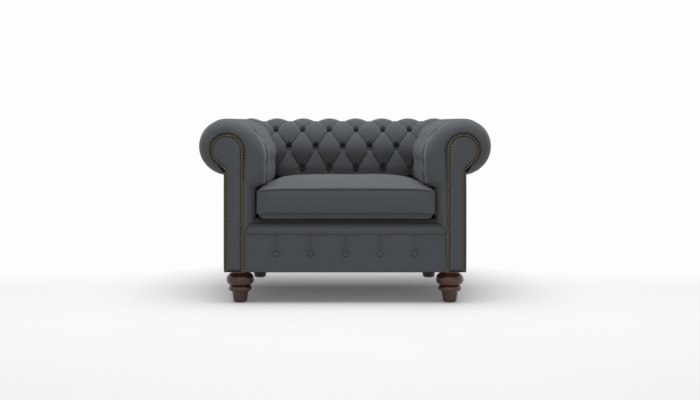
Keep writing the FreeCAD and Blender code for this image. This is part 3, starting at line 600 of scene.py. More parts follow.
# %% [markdown]
# ## Covered buttons
# Each button is a metal shell with cloth pressed over it: a low dome with a rounded rim. It is raised ring
# by ring from a circle, as on a lathe, by extruding the top face and scaling it. One is made, and copies
# are set down in the wells, each turned to look out of the stuffing.

# %% Raising round pieces ring by ring
def free_hands():
    """Object mode with nothing selected."""
    if bpy.context.object and bpy.context.object.mode != "OBJECT":
        bpy.ops.object.mode_set(mode="OBJECT")
    bpy.ops.object.select_all(action="DESELECT")


def raised(name, rings, sides, centre=(0, 0), smooth=50):
    """A round piece from (radius, height) rings in mm, standing on its first ring."""
    free_hands()
    radius, height = rings[0]
    spot = Vector((centre[0], centre[1], height)) * MM
    bpy.ops.mesh.primitive_circle_add(vertices=sides, radius=radius * MM, fill_type="NGON", location=spot)
    piece = bpy.context.object
    piece.name = piece.data.name = name
    bpy.ops.object.transform_apply(location=True, rotation=True, scale=True)
    bpy.ops.object.mode_set(mode="EDIT")
    for wider, higher in rings[1:]:
        up = (0, 0, (higher - height) * MM)
        bpy.ops.mesh.extrude_region_move(TRANSFORM_OT_translate={"value": up})
        size = wider / radius
        middle = Vector((centre[0], centre[1], higher)) * MM
        bpy.ops.transform.resize(value=(size, size, 1), center_override=middle)
        radius, height = wider, higher
    bpy.ops.mesh.select_all(action="SELECT")
    bpy.ops.mesh.normals_make_consistent(inside=False)
    bpy.ops.object.mode_set(mode="OBJECT")
    bpy.ops.object.shade_smooth_by_angle(angle=math.radians(smooth))
    return piece


def laid_out(model, spots, name):
    """Copies of a model at (place, outward direction) spots, joined into one piece; the model goes."""
    free_hands()
    copies = []
    for place, outward in spots:
        mesh = model.data.copy()
        turn = Vector(outward).to_track_quat("Z", "Y").to_matrix().to_4x4()
        turn.translation = Vector(place) * MM
        mesh.transform(turn)
        copy = bpy.data.objects.new(name, mesh)
        bpy.context.scene.collection.objects.link(copy)
        copy.select_set(True)
        copies.append(copy)
    bpy.context.view_layer.objects.active = copies[0]
    if len(copies) > 1:
        bpy.ops.object.join()
    copies[0].name = copies[0].data.name = name
    bpy.data.objects.remove(model)
    return copies[0]


# %% Buttons on arms and back
def button_model(radius, rise):
    profile = [(radius - 1, -4), (radius - 0.4, 0), (radius, 0.25 * rise), (radius - 0.8, 0.5 * rise),
               (radius - 2.6, 0.74 * rise), (radius - 5, 0.91 * rise), (1.5, rise)]
    return raised("button", profile, 28)


def button_spots(seats, to_world, depth):
    spots = []
    for a, s in seats:
        u, z = read(section[:, 0], s), read(section[:, 1], s)
        out = np.array([read(section_normal[:, 0], s), read(section_normal[:, 1], s)])
        low = to_world(u - out[0] * depth, z - out[1] * depth, a)
        high = to_world(u, z, a)
        spots.append((low, high - low))
    return spots


def paint_shade_over(piece, share):
    """Gives all of a piece an even painted shade, as if it lay deep in a crease."""
    layer = piece.data.attributes.new("painted_shade", "FLOAT", "POINT")
    layer.data.foreach_set("value", np.full(len(piece.data.vertices), share, np.float32))


arm_spots = button_spots(arm_seats, arm_world, well_depth)
back_spots = button_spots(back_seats, back_world, well_depth)
button_radius, button_rise = 9.0, 5.0
arm_buttons = laid_out(button_model(button_radius, button_rise), arm_spots, "arm_buttons_cloth_left")
back_buttons = laid_out(button_model(button_radius, button_rise), back_spots, "back_buttons_cloth")
# The buttons sit deep in their wells, so they are given painted shade.
for piece in (arm_buttons, back_buttons):
    box_cloth(piece)
    paint_shade_over(piece, 0.8)
dress_both(arm_buttons, charcoal, "arm_buttons_cloth", "arm_buttons")
dress(back_buttons, charcoal, stands_for=["back_buttons"])

# %% [markdown]
# ## Plain front border of each arm
# In front of the tufting the arm is covered plain: the cloth comes from the nailed edge of the facing,
# swells out over a roll of wadding and runs back to the first pleat. Lower down it becomes the narrow
# upright band beside the cushion and meets the front lip in a mitre, like the corner of a picture frame.
# Each row of its grid goes from the facing's edge outwards and back, and the rows follow the section.

# %% Front border grid
board_y, lip_low, lip_top = -430.0, 266.5, 322.5
facing_u = 67.5


def facing_edge(s):
    """The point on the facing's outline that belongs to a length s on the section."""
    radius = scroll_radius + 1
    share = np.clip(s / roll_length, 0, 1)
    turn = np.radians(scroll_end + (90 - scroll_end) * share)
    down = np.clip((s - roll_length) / belly_radius, 0, math.pi / 2)
    turn = np.where(s > roll_length, math.pi / 2 - down, turn)
    start = roll_length + belly_radius * math.pi / 2
    drop = np.clip((s - start) / (section_end - start), 0, 1) * (scroll_centre[1] - tuck[3][1])
    return scroll_centre[0] + radius * np.cos(turn), scroll_centre[1] + radius * np.sin(turn) - drop


def mitre_z(u):
    """Height of the mitre between an arm's border and the lip."""
    return lip_low + (u - facing_u) * (lip_top - lip_low) / (tuck[3][0] - facing_u)


def over_board(y, u):
    """Keeps a front face before the scroll board, whose edge at u 72 reaches past the facing."""
    return np.where(y < -418, np.minimum(y, board_y - 0.6 + 2.5 * np.clip(u - 72, 0, None)), y)


tight = softened(even_line(raw_section)[0], 3.0)
fuller = np.interp(section_s, [0, 70, 230, 330], [11.0, 7.0, 5.0, 0.0])[:, None]
tight = tight + normals_of(tight) * fuller
s_rows = np.concatenate([np.linspace(0, 620, 150)[:-1], np.linspace(620, 720, 41)[:-1],
                         np.linspace(720, section_end, 16)])
full_u, full_z = read(tight[:, 0], s_rows), read(tight[:, 1], s_rows)
edge_u, edge_z = facing_edge(s_rows)
steps = np.concatenate([np.linspace(0, 1, 34), 1 + np.linspace(0, 1, 13)[1:]])
quarter = np.minimum(steps, 1) * math.pi / 2
blunt = np.interp(s_rows, [0, 560, 680], [0.84, 0.88, 1.3])
spread = np.sin(quarter)[None, :] ** blunt[:, None]
swell = 1.5 * np.sin(math.pi * np.clip(steps / 0.6, 0, 1)) ** 1.4
depth_y = board_y - 1.8 + 67.8 * (1 - np.cos(quarter) ** 0.9) - swell
depth_y = np.where(steps > 1, -364 + (border_rear + 364) * (steps - 1), depth_y)
u = edge_u[:, None] * (1 - spread) + full_u[:, None] * spread
z = edge_z[:, None] * (1 - spread) + full_z[:, None] * spread
foot_rows = 13
foot = np.linspace(0, 1, foot_rows + 1)[1:, None]
foot_u = np.repeat(u[-1:], foot_rows, 0)
foot_z = z[-1] - foot * (z[-1] - np.minimum(mitre_z(foot_u), z[-1]))
spread = np.vstack([spread, np.repeat(spread[-1:], foot_rows, 0)])
y = np.repeat(depth_y[None, :], len(spread), 0)
left_over = foot_z - mitre_z(foot_u)
u, z = np.vstack([u, foot_u]), np.vstack([z, foot_z])
under_belly_s = roll_length + belly_radius * (math.pi / 2 + 0.125)
pulls = [(row_s[1] + 4, 10, 13), (under_belly_s, 7, 12), (row_s[3], 5, 14)]
pulled = sum(deep * np.exp(-((s_rows - place) / wide) ** 2) for place, deep, wide in pulls)
pulled = np.concatenate([pulled, np.zeros(foot_rows)])[:, None] * np.clip((depth_y + 402) / 62, 0, 1) ** 1.6
rear_round = edge_dip((2 - steps) * 24, 12.0) * 7 * (steps > 1)
mitre_round = edge_dip(np.vstack([np.full((len(s_rows), len(steps)), 99.0), left_over]), 8.0) * 1.6
way_u, way_z = np.gradient(u, axis=0), np.gradient(z, axis=0)
size = np.hypot(way_u, way_z) + 1e-9
side = spread * (rear_round + mitre_round * 0.5) + pulled
u_out, z_out = -way_z / size, way_u / size
u_out[len(s_rows):], z_out[len(s_rows):] = 1.0, 0.0
outer_u = u - u_out * side
outer_y = y + mitre_round * np.cos(quarter)
outer_y[len(s_rows):] = over_board(outer_y[len(s_rows):], outer_u[len(s_rows):])
outer = arm_world(outer_u, z - z_out * side, outer_y)
inside = softened(section - section_normal * 24, 14.0)
hidden_u = np.concatenate([read(inside[:, 0], s_rows), np.full(foot_rows, 85.0)])
hidden_z = np.concatenate([read(inside[:, 1], s_rows), z[len(s_rows):, 0]])
lengths = np.concatenate([s_rows, section_end + np.linspace(4, 50, foot_rows)])
front_hidden = arm_world(u[:, 0], z[:, 0], np.full(len(lengths), -412.0))
rear_hidden = arm_world(hidden_u, hidden_z, np.full(len(lengths), border_rear))
rings = np.concatenate([outer, rear_hidden[:, None], front_hidden[:, None]], axis=1)
across = np.concatenate([np.cumsum(np.full(len(steps), 2.6)), [120, 0]])
cloth = np.dstack(np.broadcast_arrays(across[None, :], lengths[:, None]))
# Painted shade beside the nails and over the rounded turns at the rear and at the mitre.
painted_shade = np.zeros(rings.shape[:2])
painted_shade_by_nails = np.clip(1 - steps / 0.1, 0, 1)
painted_shade[:, :len(steps)] = np.clip((rear_round + mitre_round) / 12 + painted_shade_by_nails, 0, 1)
arm_border = tube("arm_border_cloth_left", rings, cloth, painted_shade)
dress_both(arm_border, charcoal, "arm_border_cloth", "arm_front_border")

# %% [markdown]
# ## Facings
# The front of each arm is closed by a thin padded board covered in the same cloth, in the shape of the
# scroll. Its edge is held by the nails, so the face swells a little inside the line of nails. The outline
# is drawn once; loops drawn in from it and lifted make the rounded edge and the swell.

# %% Facing outline
def scroll_leaves(radius, outer_u):
    """Where a line leaves the scroll's underside, and where it meets the stile's outer edge."""
    turn = math.radians(scroll_end)
    start = (scroll_centre[0] + radius * math.cos(turn), scroll_centre[1] + radius * math.sin(turn))
    return start, (outer_u, start[1] - (outer_u - start[0]) * math.tan(math.radians(270 - scroll_end)))


def facing_outline(inset):
    """The facing's outline drawn in by an inset, from its inner foot up round the scroll."""
    radius, outer_u, low = scroll_radius - inset, frame_u + inset, base_z + inset
    start, corner = scroll_leaves(radius, outer_u)
    inner_u = scroll_centre[0] + radius
    return np.vstack([straight_line((inner_u, low), (inner_u, scroll_centre[1]), 12),
                      circle_line(scroll_centre, radius, 0, scroll_end, 4),
                      straight_line(start, corner, 6)[1:],
                      straight_line(corner, (outer_u, low), 12)[1:],
                      straight_line((outer_u, low), (inner_u, low), 6)[1:-1]])


def resampled(points, count):
    """The closed line with a set number of points at even spacing."""
    ring = np.vstack([points, points[:1]])
    length = np.concatenate([[0], np.cumsum(np.hypot(*np.diff(ring, axis=0).T))])
    at = np.linspace(0, length[-1], count + 1)[:-1]
    return np.column_stack([np.interp(at, length, ring[:, 0]), np.interp(at, length, ring[:, 1])])


layers = [(0.4, -424.0), (0.4, -431.0), (1.0, -433.2), (2.4, -434.6), (5.0, -434.9), (8.0, -435.2),
          (11.0, -436.6), (16.0, -437.8), (22.0, -438.2)]
around_it = 420
rings, cloth, painted_shade_by_nails = [], [], []
for inset, layer_y in layers:
    line = resampled(facing_outline(inset), around_it)
    cloth.append(line)
    rings.append(arm_world(*line.T, np.full(around_it, layer_y)))
    # Painted shade: a dark band round the facing's edge, beside the nails.
    painted_shade_by_nails.append(np.full(around_it, np.clip((11 - inset) / 3, 0, 1)))
facing = tube("facing_cloth_left", np.array(rings), np.array(cloth), np.array(painted_shade_by_nails))
dress_both(facing, charcoal, "facing_cloth", "facing")

# %% [markdown]
# ## Decorative nails
# Antique nails stand head to head round each facing. A head is a shallow dome, and there are over two
# hundred, so one dome of a few dozen faces is made and copied along the line. Each head's rim is darkened,
# partly tarnish and partly painted shade for the dark cloth a rim reflects; painted_shade is high at the
# rim.

# %% Antique brass
brass = Finish("antique_brass", Metallic=1.0)
brass_place = place_on_object(brass)
tarnish = speckle(brass, brass_place, 260.0, 3.0)
wear = speckle(brass, brass_place, 900.0)
brass_tone = brass.mixed(tarnish.within(0.35, 0.7), rgb(0.085, 0.062, 0.034), rgb(0.20, 0.15, 0.085))
# The rim is darkened: partly tarnish, partly painted shade for the dark cloth that a real rim reflects.
rim = brass.node("Attribute", {"attribute_name": "painted_shade"}, None, out=2)
brass.give("Base Color", brass.mixed(rim, brass_tone, rgb(0.010, 0.008, 0.005)))
brass.give("Roughness", tarnish * 0.35 + 0.34)
brass.relief(wear, 0.0002, 0.5)

# %% Nails along the facing
nail_u, nail_outer_u, nail_pitch = 62.5, 5.5, 10.5
nail_foot_z, nail_seat_y = 131.0, -434.4
nail_radius = scroll_radius - 4
nail_start, nail_corner = scroll_leaves(nail_radius, nail_outer_u)
nail_line = np.vstack([straight_line((nail_u, nail_foot_z), (nail_u, scroll_centre[1])),
                       circle_line(scroll_centre, nail_radius, 0, scroll_end),
                       straight_line(nail_start, nail_corner),
                       straight_line(nail_corner, (nail_outer_u, nail_foot_z))])
nail_line, nail_at = even_line(nail_line, 0.5)
nail_count = round(nail_at[-1] / nail_pitch)
nail_places = np.linspace(0, nail_at[-1], nail_count + 1)
spots = []
for at in nail_places:
    u, z = np.interp(at, nail_at, nail_line[:, 0]), np.interp(at, nail_at, nail_line[:, 1])
    spots.append((arm_world(u, z, nail_seat_y), (0, -1, 0)))
nail = raised("nail", [(4.4, 0), (4.6, 0.7), (4.0, 2.3), (2.6, 3.5), (1.0, 3.9)], 10, smooth=80)
nails = laid_out(nail, spots, "facing_nail_heads_left")
# Tarnish and painted shade grow from each head's crown to its rim.
lift = np.array([nail_seat_y - vert.co.y / MM for vert in nails.data.vertices])
tarnish_and_shade = nails.data.attributes.new("painted_shade", "FLOAT", "POINT")
tarnish_and_shade.data.foreach_set("value", np.clip(1.1 - lift / 3.4, 0, 1).astype(np.float32))
dress_both(nails, brass.material, "facing_nail_heads", "facing_nails")
print("nails on a side", len(spots))

# %% [markdown]
# ## Front lip
# Below the cushion the front edge of the seat is a firm padded lip. Its cloth bulges over the roll behind
# it and is sewn to the border below. Rings across the lip are joined from side to side, and each point
# stops at the mitre with the arm's border.

# %% Lip
lip_front = [(-424.0, 264.6), (-429.0, 266.4), (-432.4, 271.0), (-433.6, 278.5), (-432.0, 287.5),
             (-427.6, 297.0), (-420.6, 305.8), (-412.0, 313.0), (-403.5, 318.2), (-395.2, 321.6)]
lip_curve = softened(even_line(np.array(lip_front), 0.5)[0], 5.0)[::5]
lip_ring = np.vstack([lip_curve, [(-395.2, 312.0), (-408.6, 302.0), (-408.6, 265.4)]])
lip_half = arm_x - facing_u
lip_end = np.linspace(340, lip_half, 30)
lip_x = np.concatenate([-lip_end[::-1], np.linspace(-330, 330, 67), lip_end])
lip_share = np.clip((lip_ring[:, 1] - lip_low) / (lip_top - lip_low), 0, 1)
lip_limit = lip_half - lip_share * (tuck[3][0] - facing_u)
x = np.clip(lip_x[:, None], -lip_limit[None, :], lip_limit[None, :])
dip = edge_dip(lip_limit[None, :] - np.abs(x), 8.0) * 1.6
ripple = np.array([0.5 * noise(Vector((v * 0.011, 3.1, 0))) for v in lip_x])[:, None]
front_share = np.clip((-lip_ring[:, 0] - 412) / 20, 0, 1)
y = over_board(lip_ring[:, 0][None, :] + dip * front_share - ripple * front_share * 2, arm_x - np.abs(x))
z = np.repeat(lip_ring[:, 1][None, :], len(lip_x), 0) - dip * (1 - front_share) * (lip_ring[:, 1] > 321)
cloth_s = np.concatenate([[0], np.cumsum(np.hypot(*np.diff(lip_ring, axis=0).T))])
cloth = np.dstack(np.broadcast_arrays(x, cloth_s[None, :]))
# Painted shade: the lip's top under the cushion's overhang and its ends at the mitre are darkened.
shaded = np.clip(dip / 10 + np.clip((lip_ring[:, 1] - 284) / 24, 0, 1) ** 1.3, 0, 1)
lip = tube("front_lip_cloth", np.stack([x, y, z], axis=-1), cloth, shaded)
dress(lip, charcoal, stands_for=["front_lip"])

# %% [markdown]
# ## Border below the lip
# A flat panel with a little wadding covers the front rail. Five buttons are pressed into it, and from each
# one a narrow pleat runs up to the seam and a fainter crease runs down. The relief is a height over a flat
# grid, and the panel's edges are rounded where the cloth turns round the rail.

# %% Border panel
button_x = [133.0 * k for k in (-2, -1, 0, 1, 2)]
button_z = 190.6


def border_height(x, z):
    """How far the panel's face lies below its flat front, in mm."""
    sink = np.zeros_like(x)
    for number, middle in enumerate(button_x):
        lean = 1.2 * math.sin(number * 2.1)
        above = np.clip((z - button_z) / 8, 0, 1)
        below = np.clip((button_z - z) / 8, 0, 1) * np.exp(-np.clip(button_z - z, 0, None) / 34)
        line = x - middle + 3.0 + lean * (z - button_z) / 80
        sharp = np.where(line < 0, np.exp(-(line / 1.6) ** 2), np.exp(-np.power(np.abs(line) / 8.5, 1.2)))
        faint = np.exp(-np.power(np.abs(x - middle) / 3.2, 1.6))
        second = np.exp(-np.power(np.abs(line - 7.5) / 2.2, 1.6)) * 0.35
        sink = np.maximum(sink, 2.4 * above * np.maximum(sharp, second))
        sink = np.maximum(sink, 2.0 * below * faint)
        r = np.hypot(x - middle, z - button_z)
        sink = np.maximum(sink, 4.2 * np.exp(-np.power(r / 11.4, 4)) + 1.6 * np.exp(-np.power(r / 24, 2)))
    return sink


panel_top = 265.9
panel_z = np.concatenate([base_z + np.array([0, 0.6, 2.2, 4.6]), np.linspace(129, 260.5, 56),
                          panel_top - np.array([3.4, 1.6, 0.5, 0])])
fine = np.concatenate([middle + np.linspace(-30, 30, 41) for middle in button_x])
panel_x = np.unique(np.round(np.concatenate([np.linspace(-lip_half, lip_half, 68), fine]), 2))
grid_x, grid_z = np.meshgrid(panel_x, panel_z, indexing="ij")
rounding = edge_dip(grid_z - base_z, 7.0) * 7 + edge_dip(panel_top + 0.2 - grid_z, 5.0) * 4.5
puffing = 1.3 * np.cos(grid_x * 2 * math.pi / 133.0) * np.clip((grid_z - 150) / 60, 0, 1)
height = border_height(grid_x, grid_z) + rounding + puffing * 0.6
outer = np.stack([grid_x, over_board(board_y - 0.8 + height, arm_x - np.abs(grid_x)), grid_z], axis=-1)
hidden = [np.stack([panel_x, np.full_like(panel_x, -408.5), np.full_like(panel_x, level)], axis=-1)
          for level in (panel_top, base_z)]
rings = np.concatenate([outer, hidden[0][:, None], hidden[1][:, None]], axis=1)
cloth = np.dstack([rings[..., 0], np.concatenate([grid_z, grid_z[:, -1:] + 20, grid_z[:, :1] - 20], axis=1)])
# Painted shade in the pleats, the buttons' dimples and the rounded edges; full on the hidden back.
painted_shade = np.concatenate([np.clip(height / 16, 0, 1), np.ones((len(panel_x), 2))], axis=1)
panel = tube("front_border_cloth", rings, cloth, painted_shade)
dress(panel, charcoal, stands_for=["front_border"])

# %% Its five buttons
spots = [((x, -427.2, button_z), (0, -1, 0)) for x in button_x]
border_buttons = laid_out(button_model(9.0, 3.6), spots, "border_buttons_cloth")
box_cloth(border_buttons)
dress(border_buttons, charcoal, stands_for=["border_buttons"])

# %% [markdown]
# ## Outside panels
# The outsides of the arms and of the back are closed by cloth stretched over thin wadding, from under the
# roll down to the rail. The panels are nearly flat, with rounded edges and a faint swell in the middle.

# %% A stretched panel
def stretched_panel(name, along, levels, face, edge_round, swell, to_world):
    """A closed flat panel; to_world(place, height above the frame, z) gives points."""
    reach = np.array([0, 0.6, 2.0, 4.5, 8.0, 12.0, 17.0, 24.0])

    def places_between(low, high, count):
        return np.concatenate([low + reach, np.linspace(low + 36, high - 36, count), (high - reach)[::-1]])

    a, z = places_between(*along, 40), places_between(*levels, 24)
    grid_a, grid_z = np.meshgrid(a, z, indexing="ij")
    near = np.minimum(np.minimum(grid_a - along[0], along[1] - grid_a), grid_z - levels[0])
    middle = np.sin(math.pi * (grid_a - along[0]) / (along[1] - along[0]))
    middle = middle * np.sin(math.pi * (grid_z - levels[0]) / (levels[1] - levels[0]))
    height = face - edge_dip(near, edge_round) * (face - 0.8) + swell * np.sqrt(np.clip(middle, 0, 1))
    outer = to_world(grid_a, height, grid_z)
    backs = [to_world(a, np.full_like(a, 0.1), np.full_like(a, level)) for level in (levels[1], levels[0])]
    rings = np.concatenate([outer, backs[0][:, None], backs[1][:, None]], axis=1)
    cloth_z = np.column_stack([grid_z, grid_z[:, -1] + 5, grid_z[:, 0] - 5])
    return tube(name, rings, np.dstack([np.column_stack([grid_a, a, a]), cloth_z]))


panel_levels = (base_z, 506.0)
side_panel = stretched_panel("outside_arm_cloth_left", (-434.0, 344.0), panel_levels, 6.0, 16.0, 1.5,
                             lambda a, h, z: np.stack([-459.0 - h, a, z], axis=-1))
rear_panel = stretched_panel("outside_back_cloth", (-458.5, 458.5), panel_levels, 6.0, 10.0, 1.5,
                             lambda a, h, z: np.stack([a, 339.0 + h, z], axis=-1))
dress_both(side_panel, charcoal, "outside_arm_cloth", "outside_arm_panel")
dress(rear_panel, charcoal, stands_for=["outside_back_panel"])

# %% [markdown]
# ## Turned feet
# The feet are turned from one piece of hardwood, stained dark red-brown and lacquered: a tapered cup with a
# round tip, a bead, a big bulb and a short neck. Each is raised ring by ring from its sole, like the
# buttons, with close rings where the outline bends fast.

# %% Mahogany
wood = Finish("dark_mahogany", Coat_Weight=0.45, Coat_Roughness=0.1, Specular_IOR_Level=0.3)
wood_place = place_on_object(wood)
drift = speckle(wood, scaled(wood, wood_place, (9, 9, 2)), 1.0, 3.0)
parts = scaled(wood, wood_place, (160, 160, 7))
grain = speckle(wood, parts, 1.0, 4.0)
pores = speckle(wood, scaled(wood, wood_place, (900, 900, 30)), 1.0, 2.0)
tone = (grain * 0.6 + drift * 0.5).within(0.3, 0.85)
wood.give("Base Color", wood.mixed(tone, rgb(0.022, 0.006, 0.0045), rgb(0.105, 0.029, 0.018)))
wood.give("Roughness", pores * 0.12 + 0.26)
wood.relief(pores * 0.5 + grain * 0.5, 0.0002, 0.35)

# %% Foot profile
def swept(start, through, end, count):
    """Points on the circle through three places."""
    (ax, ay), (bx, by), (cx, cy) = start, through, end
    d = 2 * (ax * (by - cy) + bx * (cy - ay) + cx * (ay - by))
    aa, bb, cc = ax * ax + ay * ay, bx * bx + by * by, cx * cx + cy * cy
    ux = (aa * (by - cy) + bb * (cy - ay) + cc * (ay - by)) / d
    uy = (aa * (cx - bx) + bb * (ax - cx) + cc * (bx - ax)) / d
    radius = math.hypot(ax - ux, ay - uy)
    first, last = math.atan2(ay - uy, ax - ux), math.atan2(cy - uy, cx - ux)
    turns = np.linspace(first, last, count)
    return [(ux + radius * math.cos(t), uy + radius * math.sin(t)) for t in turns]


foot_rings = [(18.0, 0.0), (21.5, 0.6)] + swept((23.0, 1.6), (26.2, 5.5), (27.4, 12.0), 6)
foot_rings += [(28.6, 20.0), (29.9, 28.0), (31.2, 36.0), (32.0, 40.6), (33.0, 42.2)]
foot_rings += swept((34.0, 42.4), (45.5, 53.5), (38.6, 64.6), 14)
foot_rings += [(37.8, 65.6)] + swept((38.2, 65.6), (53.6, 86.0), (41.0, 110.0), 24)
foot_rings += [(38.5, 111.6), (37.5, 113.0), (37.5, base_z)]
foot_places = {"front_foot": (-406.0, -371.0), "rear_foot": (-379.0, 280.0)}
for name, place in foot_places.items():
    foot = raised("turned_" + name + "_left", foot_rings, 64, place, smooth=40)
    dress_both(foot, wood.material, "turned_" + name, name)
print("foot rings", len(foot_rings))

# %% [markdown]
# ## Loose seat cushion
# The seat cushion is a box cushion: a top and a bottom panel sewn to an upright band all round. It is filled
# full, so the top rises to a crown and the bottom panel bellies out under its seam. The band swells between
# its two seams, the corners stick out as small ears, and the sides are pressed down where the arms and
# the back overhang them. The form is worked out ring by ring, from the middle of the bottom, out and up the
# band, to the middle of the top.

# %% Cushion outline
cushion_middle = np.array([3.0, -110.2])
half_size = np.array([341.0, 320.2])
corner_radius = 20.0


def band_outline():
    """Points round the band from its middle, with the outward direction at each."""
    reach = half_size - corner_radius
    points, outward = [], []
    for number in range(4):
        turn = number * math.pi / 2
        way = np.array([round(math.cos(turn + math.pi / 4)), round(math.sin(turn + math.pi / 4))])
        corner = way * reach
        angles = turn + np.linspace(0, math.pi / 2, 12)
        arc = np.column_stack([np.cos(angles), np.sin(angles)])
        points.append(corner + arc * corner_radius)
        outward.append(arc)
        turned = turn + math.pi / 2
        side = np.array([math.cos(turned), math.sin(turned)])
        next_way = np.array([round(math.cos(turned + math.pi / 4)), round(math.sin(turned + math.pi / 4))])
        share = np.linspace(0, 1, 112)[1:-1, None]
        start, end = corner + side * corner_radius, next_way * reach + side * corner_radius
        points.append(start * (1 - share) + end * share)
        outward.append(np.repeat(side[None, :], 110, 0))
    return np.vstack(points), np.vstack(outward)


outline, outward = band_outline()
around = np.concatenate([[0], np.cumsum(np.hypot(*np.diff(outline, axis=0).T))])
to_corner = np.hypot(half_size[0] - np.abs(outline[:, 0]), half_size[1] - np.abs(outline[:, 1]))
print("points round the cushion", len(outline))


# %% Cushion form
def soft_lower(first, second, softness=5.0):
    """The lower of two heights, with a rounded change from one to the other."""
    return -softness * np.log(np.exp(-(first - 440) / softness) + np.exp(-(second - 440) / softness)) + 440


def crown_height(x, y):
    """Height of the top panel at a place from the cushion's middle."""
    share = (1 - np.abs(x / half_size[0]) ** 4.4) * (1 - np.abs(y / half_size[1]) ** 2.6)
    full = 440.0 + 39.0 * np.clip(share, 0, 1)
    under_arm = 449 + np.clip(302 - np.abs(x), 0, None) * 0.7 + np.clip(-275 - y, 0, None) * 1.2
    under_back = 449 + np.clip(285 - y, 0, None) * 0.7
    return soft_lower(soft_lower(full, under_arm), under_back)


def slow_waves(x, y, size, seed):
    spots = zip(x.ravel() / size, y.ravel() / size)
    return np.array([noise(Vector((a, b, seed))) for a, b in spots]).reshape(x.shape)


pucker = np.sin(around / 2.6 + 3.0 * slow_waves(outline[:, 0], outline[:, 1], 60, 5.0))
corner_drop = np.exp(-((to_corner / 55) ** 2))
ear = np.exp(-((to_corner / 17) ** 2))
low_seam, top_seam = 348 - 5 * corner_drop, 435.5 - 4 * corner_drop + 2.5 * ear
swell = np.where(outward[:, 1] > 0.7, 1.5, np.where(np.abs(outward[:, 0]) > 0.7, 2.0, 5.5))
swell = swell * (1 - 0.6 * corner_drop)
# The seams are darkened with painted shade: fully at the top seam, to 0.35 at the lower seam.
seam_inset, low_seam_shade = 6, 0.35
seam_share = 1 - seam_inset / half_size[1]
seam_line = outline * seam_share + outward * ear[:, None] * 3.5
rings, maps, folds = [], [], []
panel_steps = np.concatenate([np.linspace(0.02, 0.74, 22)[:-1], np.linspace(0.74, 0.97, 24)[:-1],
                              np.linspace(0.97, 1, 9)])
for share in panel_steps:
    spot = seam_line * share
    inset = (1 - share) * half_size[1]
    belly = np.clip(1 - inset / 20, 0, 1) ** 2.2
    edge = 1 - edge_dip(np.array(inset), 7.0)
    height = 323.6 + (low_seam - 4 - 323.9) * belly + 4 * (1 - edge)
    height = np.maximum(height, 323.7) + 0.4 * pucker * math.exp(-inset / 9) * edge
    rings.append(np.column_stack([spot, height]))
    maps.append(spot)
    folds.append(np.full(len(outline), low_seam_shade * (1 - min(inset / 4, 1))))
band_steps = np.concatenate([np.linspace(0, 0.09, 7), np.linspace(0.09, 0.91, 26)[1:-1],
                             np.linspace(0.91, 1, 7)])
for share in band_steps:
    seam_round, seam_shade = (3.0, low_seam_shade) if share < 0.5 else (4.5, 1)
    height = low_seam + (top_seam - low_seam) * share
    gap = min(share, 1 - share) * 90
    inset = seam_inset * edge_dip(np.array(gap), seam_round)
    out = swell * math.sin(math.pi * share) ** 0.75 + 0.5 * pucker * math.exp(-gap / 8) * min(gap / 3, 1)
    out = out + ear * 3.5 * (1 - min(gap / 22, 1))
    rings.append(np.column_stack([outline * (1 - inset / half_size[1]) + outward * out[:, None], height]))
    maps.append(np.column_stack([around, height]))
    folds.append(np.full(len(outline), (1 - min(gap / 6, 1)) * seam_shade))
for share in panel_steps[::-1]:
    spot = seam_line * share
    inset = (1 - share) * half_size[1]
    edge = 1 - edge_dip(np.array(inset), 5.0)
    waves = 1.6 * slow_waves(spot[:, 0], spot[:, 1], 130, 1.7) * min(inset / 60, 1)
    crown = crown_height(spot[:, 0], spot[:, 1]) + waves - 4 * corner_drop * math.exp(-inset / 30)
    height = top_seam + (crown - top_seam) * edge + 0.5 * pucker * math.exp(-inset / 10) * edge
    rings.append(np.column_stack([spot, height]))
    maps.append(spot)
    folds.append(np.full(len(outline), 1 - min(inset / 4, 1)))
rings = np.array(rings)
rings[..., :2] += cushion_middle
cushion = tube("seat_cushion_cloth", rings, np.array(maps), np.array(folds))
dress(cushion, charcoal, body="seat_cushion", stands_for=["cushion_cover", "cushion_foam"])

# %% [markdown]
# ## Zip in the back of the cushion
# The band is cut along its middle at the back and closed by a zip, so that the cover can come off. Two
# woven tapes lie edge to edge with a row of metal teeth between them. One tooth is modelled and copied.

# %% Metal and tape
zip_metal = Finish("zip_metal", Metallic=1.0)
zip_wear = speckle(zip_metal, place_on_object(zip_metal), 400.0, 3.0)
zip_metal.give("Base Color", zip_metal.mixed(zip_wear, rgb(0.16, 0.15, 0.14), rgb(0.34, 0.32, 0.29)))
zip_metal.give("Roughness", zip_wear * 0.3 + 0.25)
tape_cloth = cloth_finish("zip_tape_cloth", rgb(0.02, 0.022, 0.024), rgb(0.045, 0.048, 0.05), pitch=0.0007)


# %% Zip
def block(name, low, high, bevel, segments=2):
    """A bevelled block between two corners in mm."""
    free_hands()
    low, high = Vector(low), Vector(high)
    bpy.ops.mesh.primitive_cube_add(size=1, location=(low + high) / 2 * MM, scale=(high - low) * MM)
    piece = bpy.context.object
    piece.name = piece.data.name = name
    bpy.ops.object.transform_apply(location=True, rotation=True, scale=True)
    bpy.ops.object.mode_set(mode="EDIT")
    bpy.ops.mesh.select_all(action="SELECT")
    bpy.ops.mesh.bevel(offset=bevel * MM, segments=segments)
    bpy.ops.object.mode_set(mode="OBJECT")
    bpy.ops.object.shade_smooth_by_angle(angle=math.radians(40))
    return piece


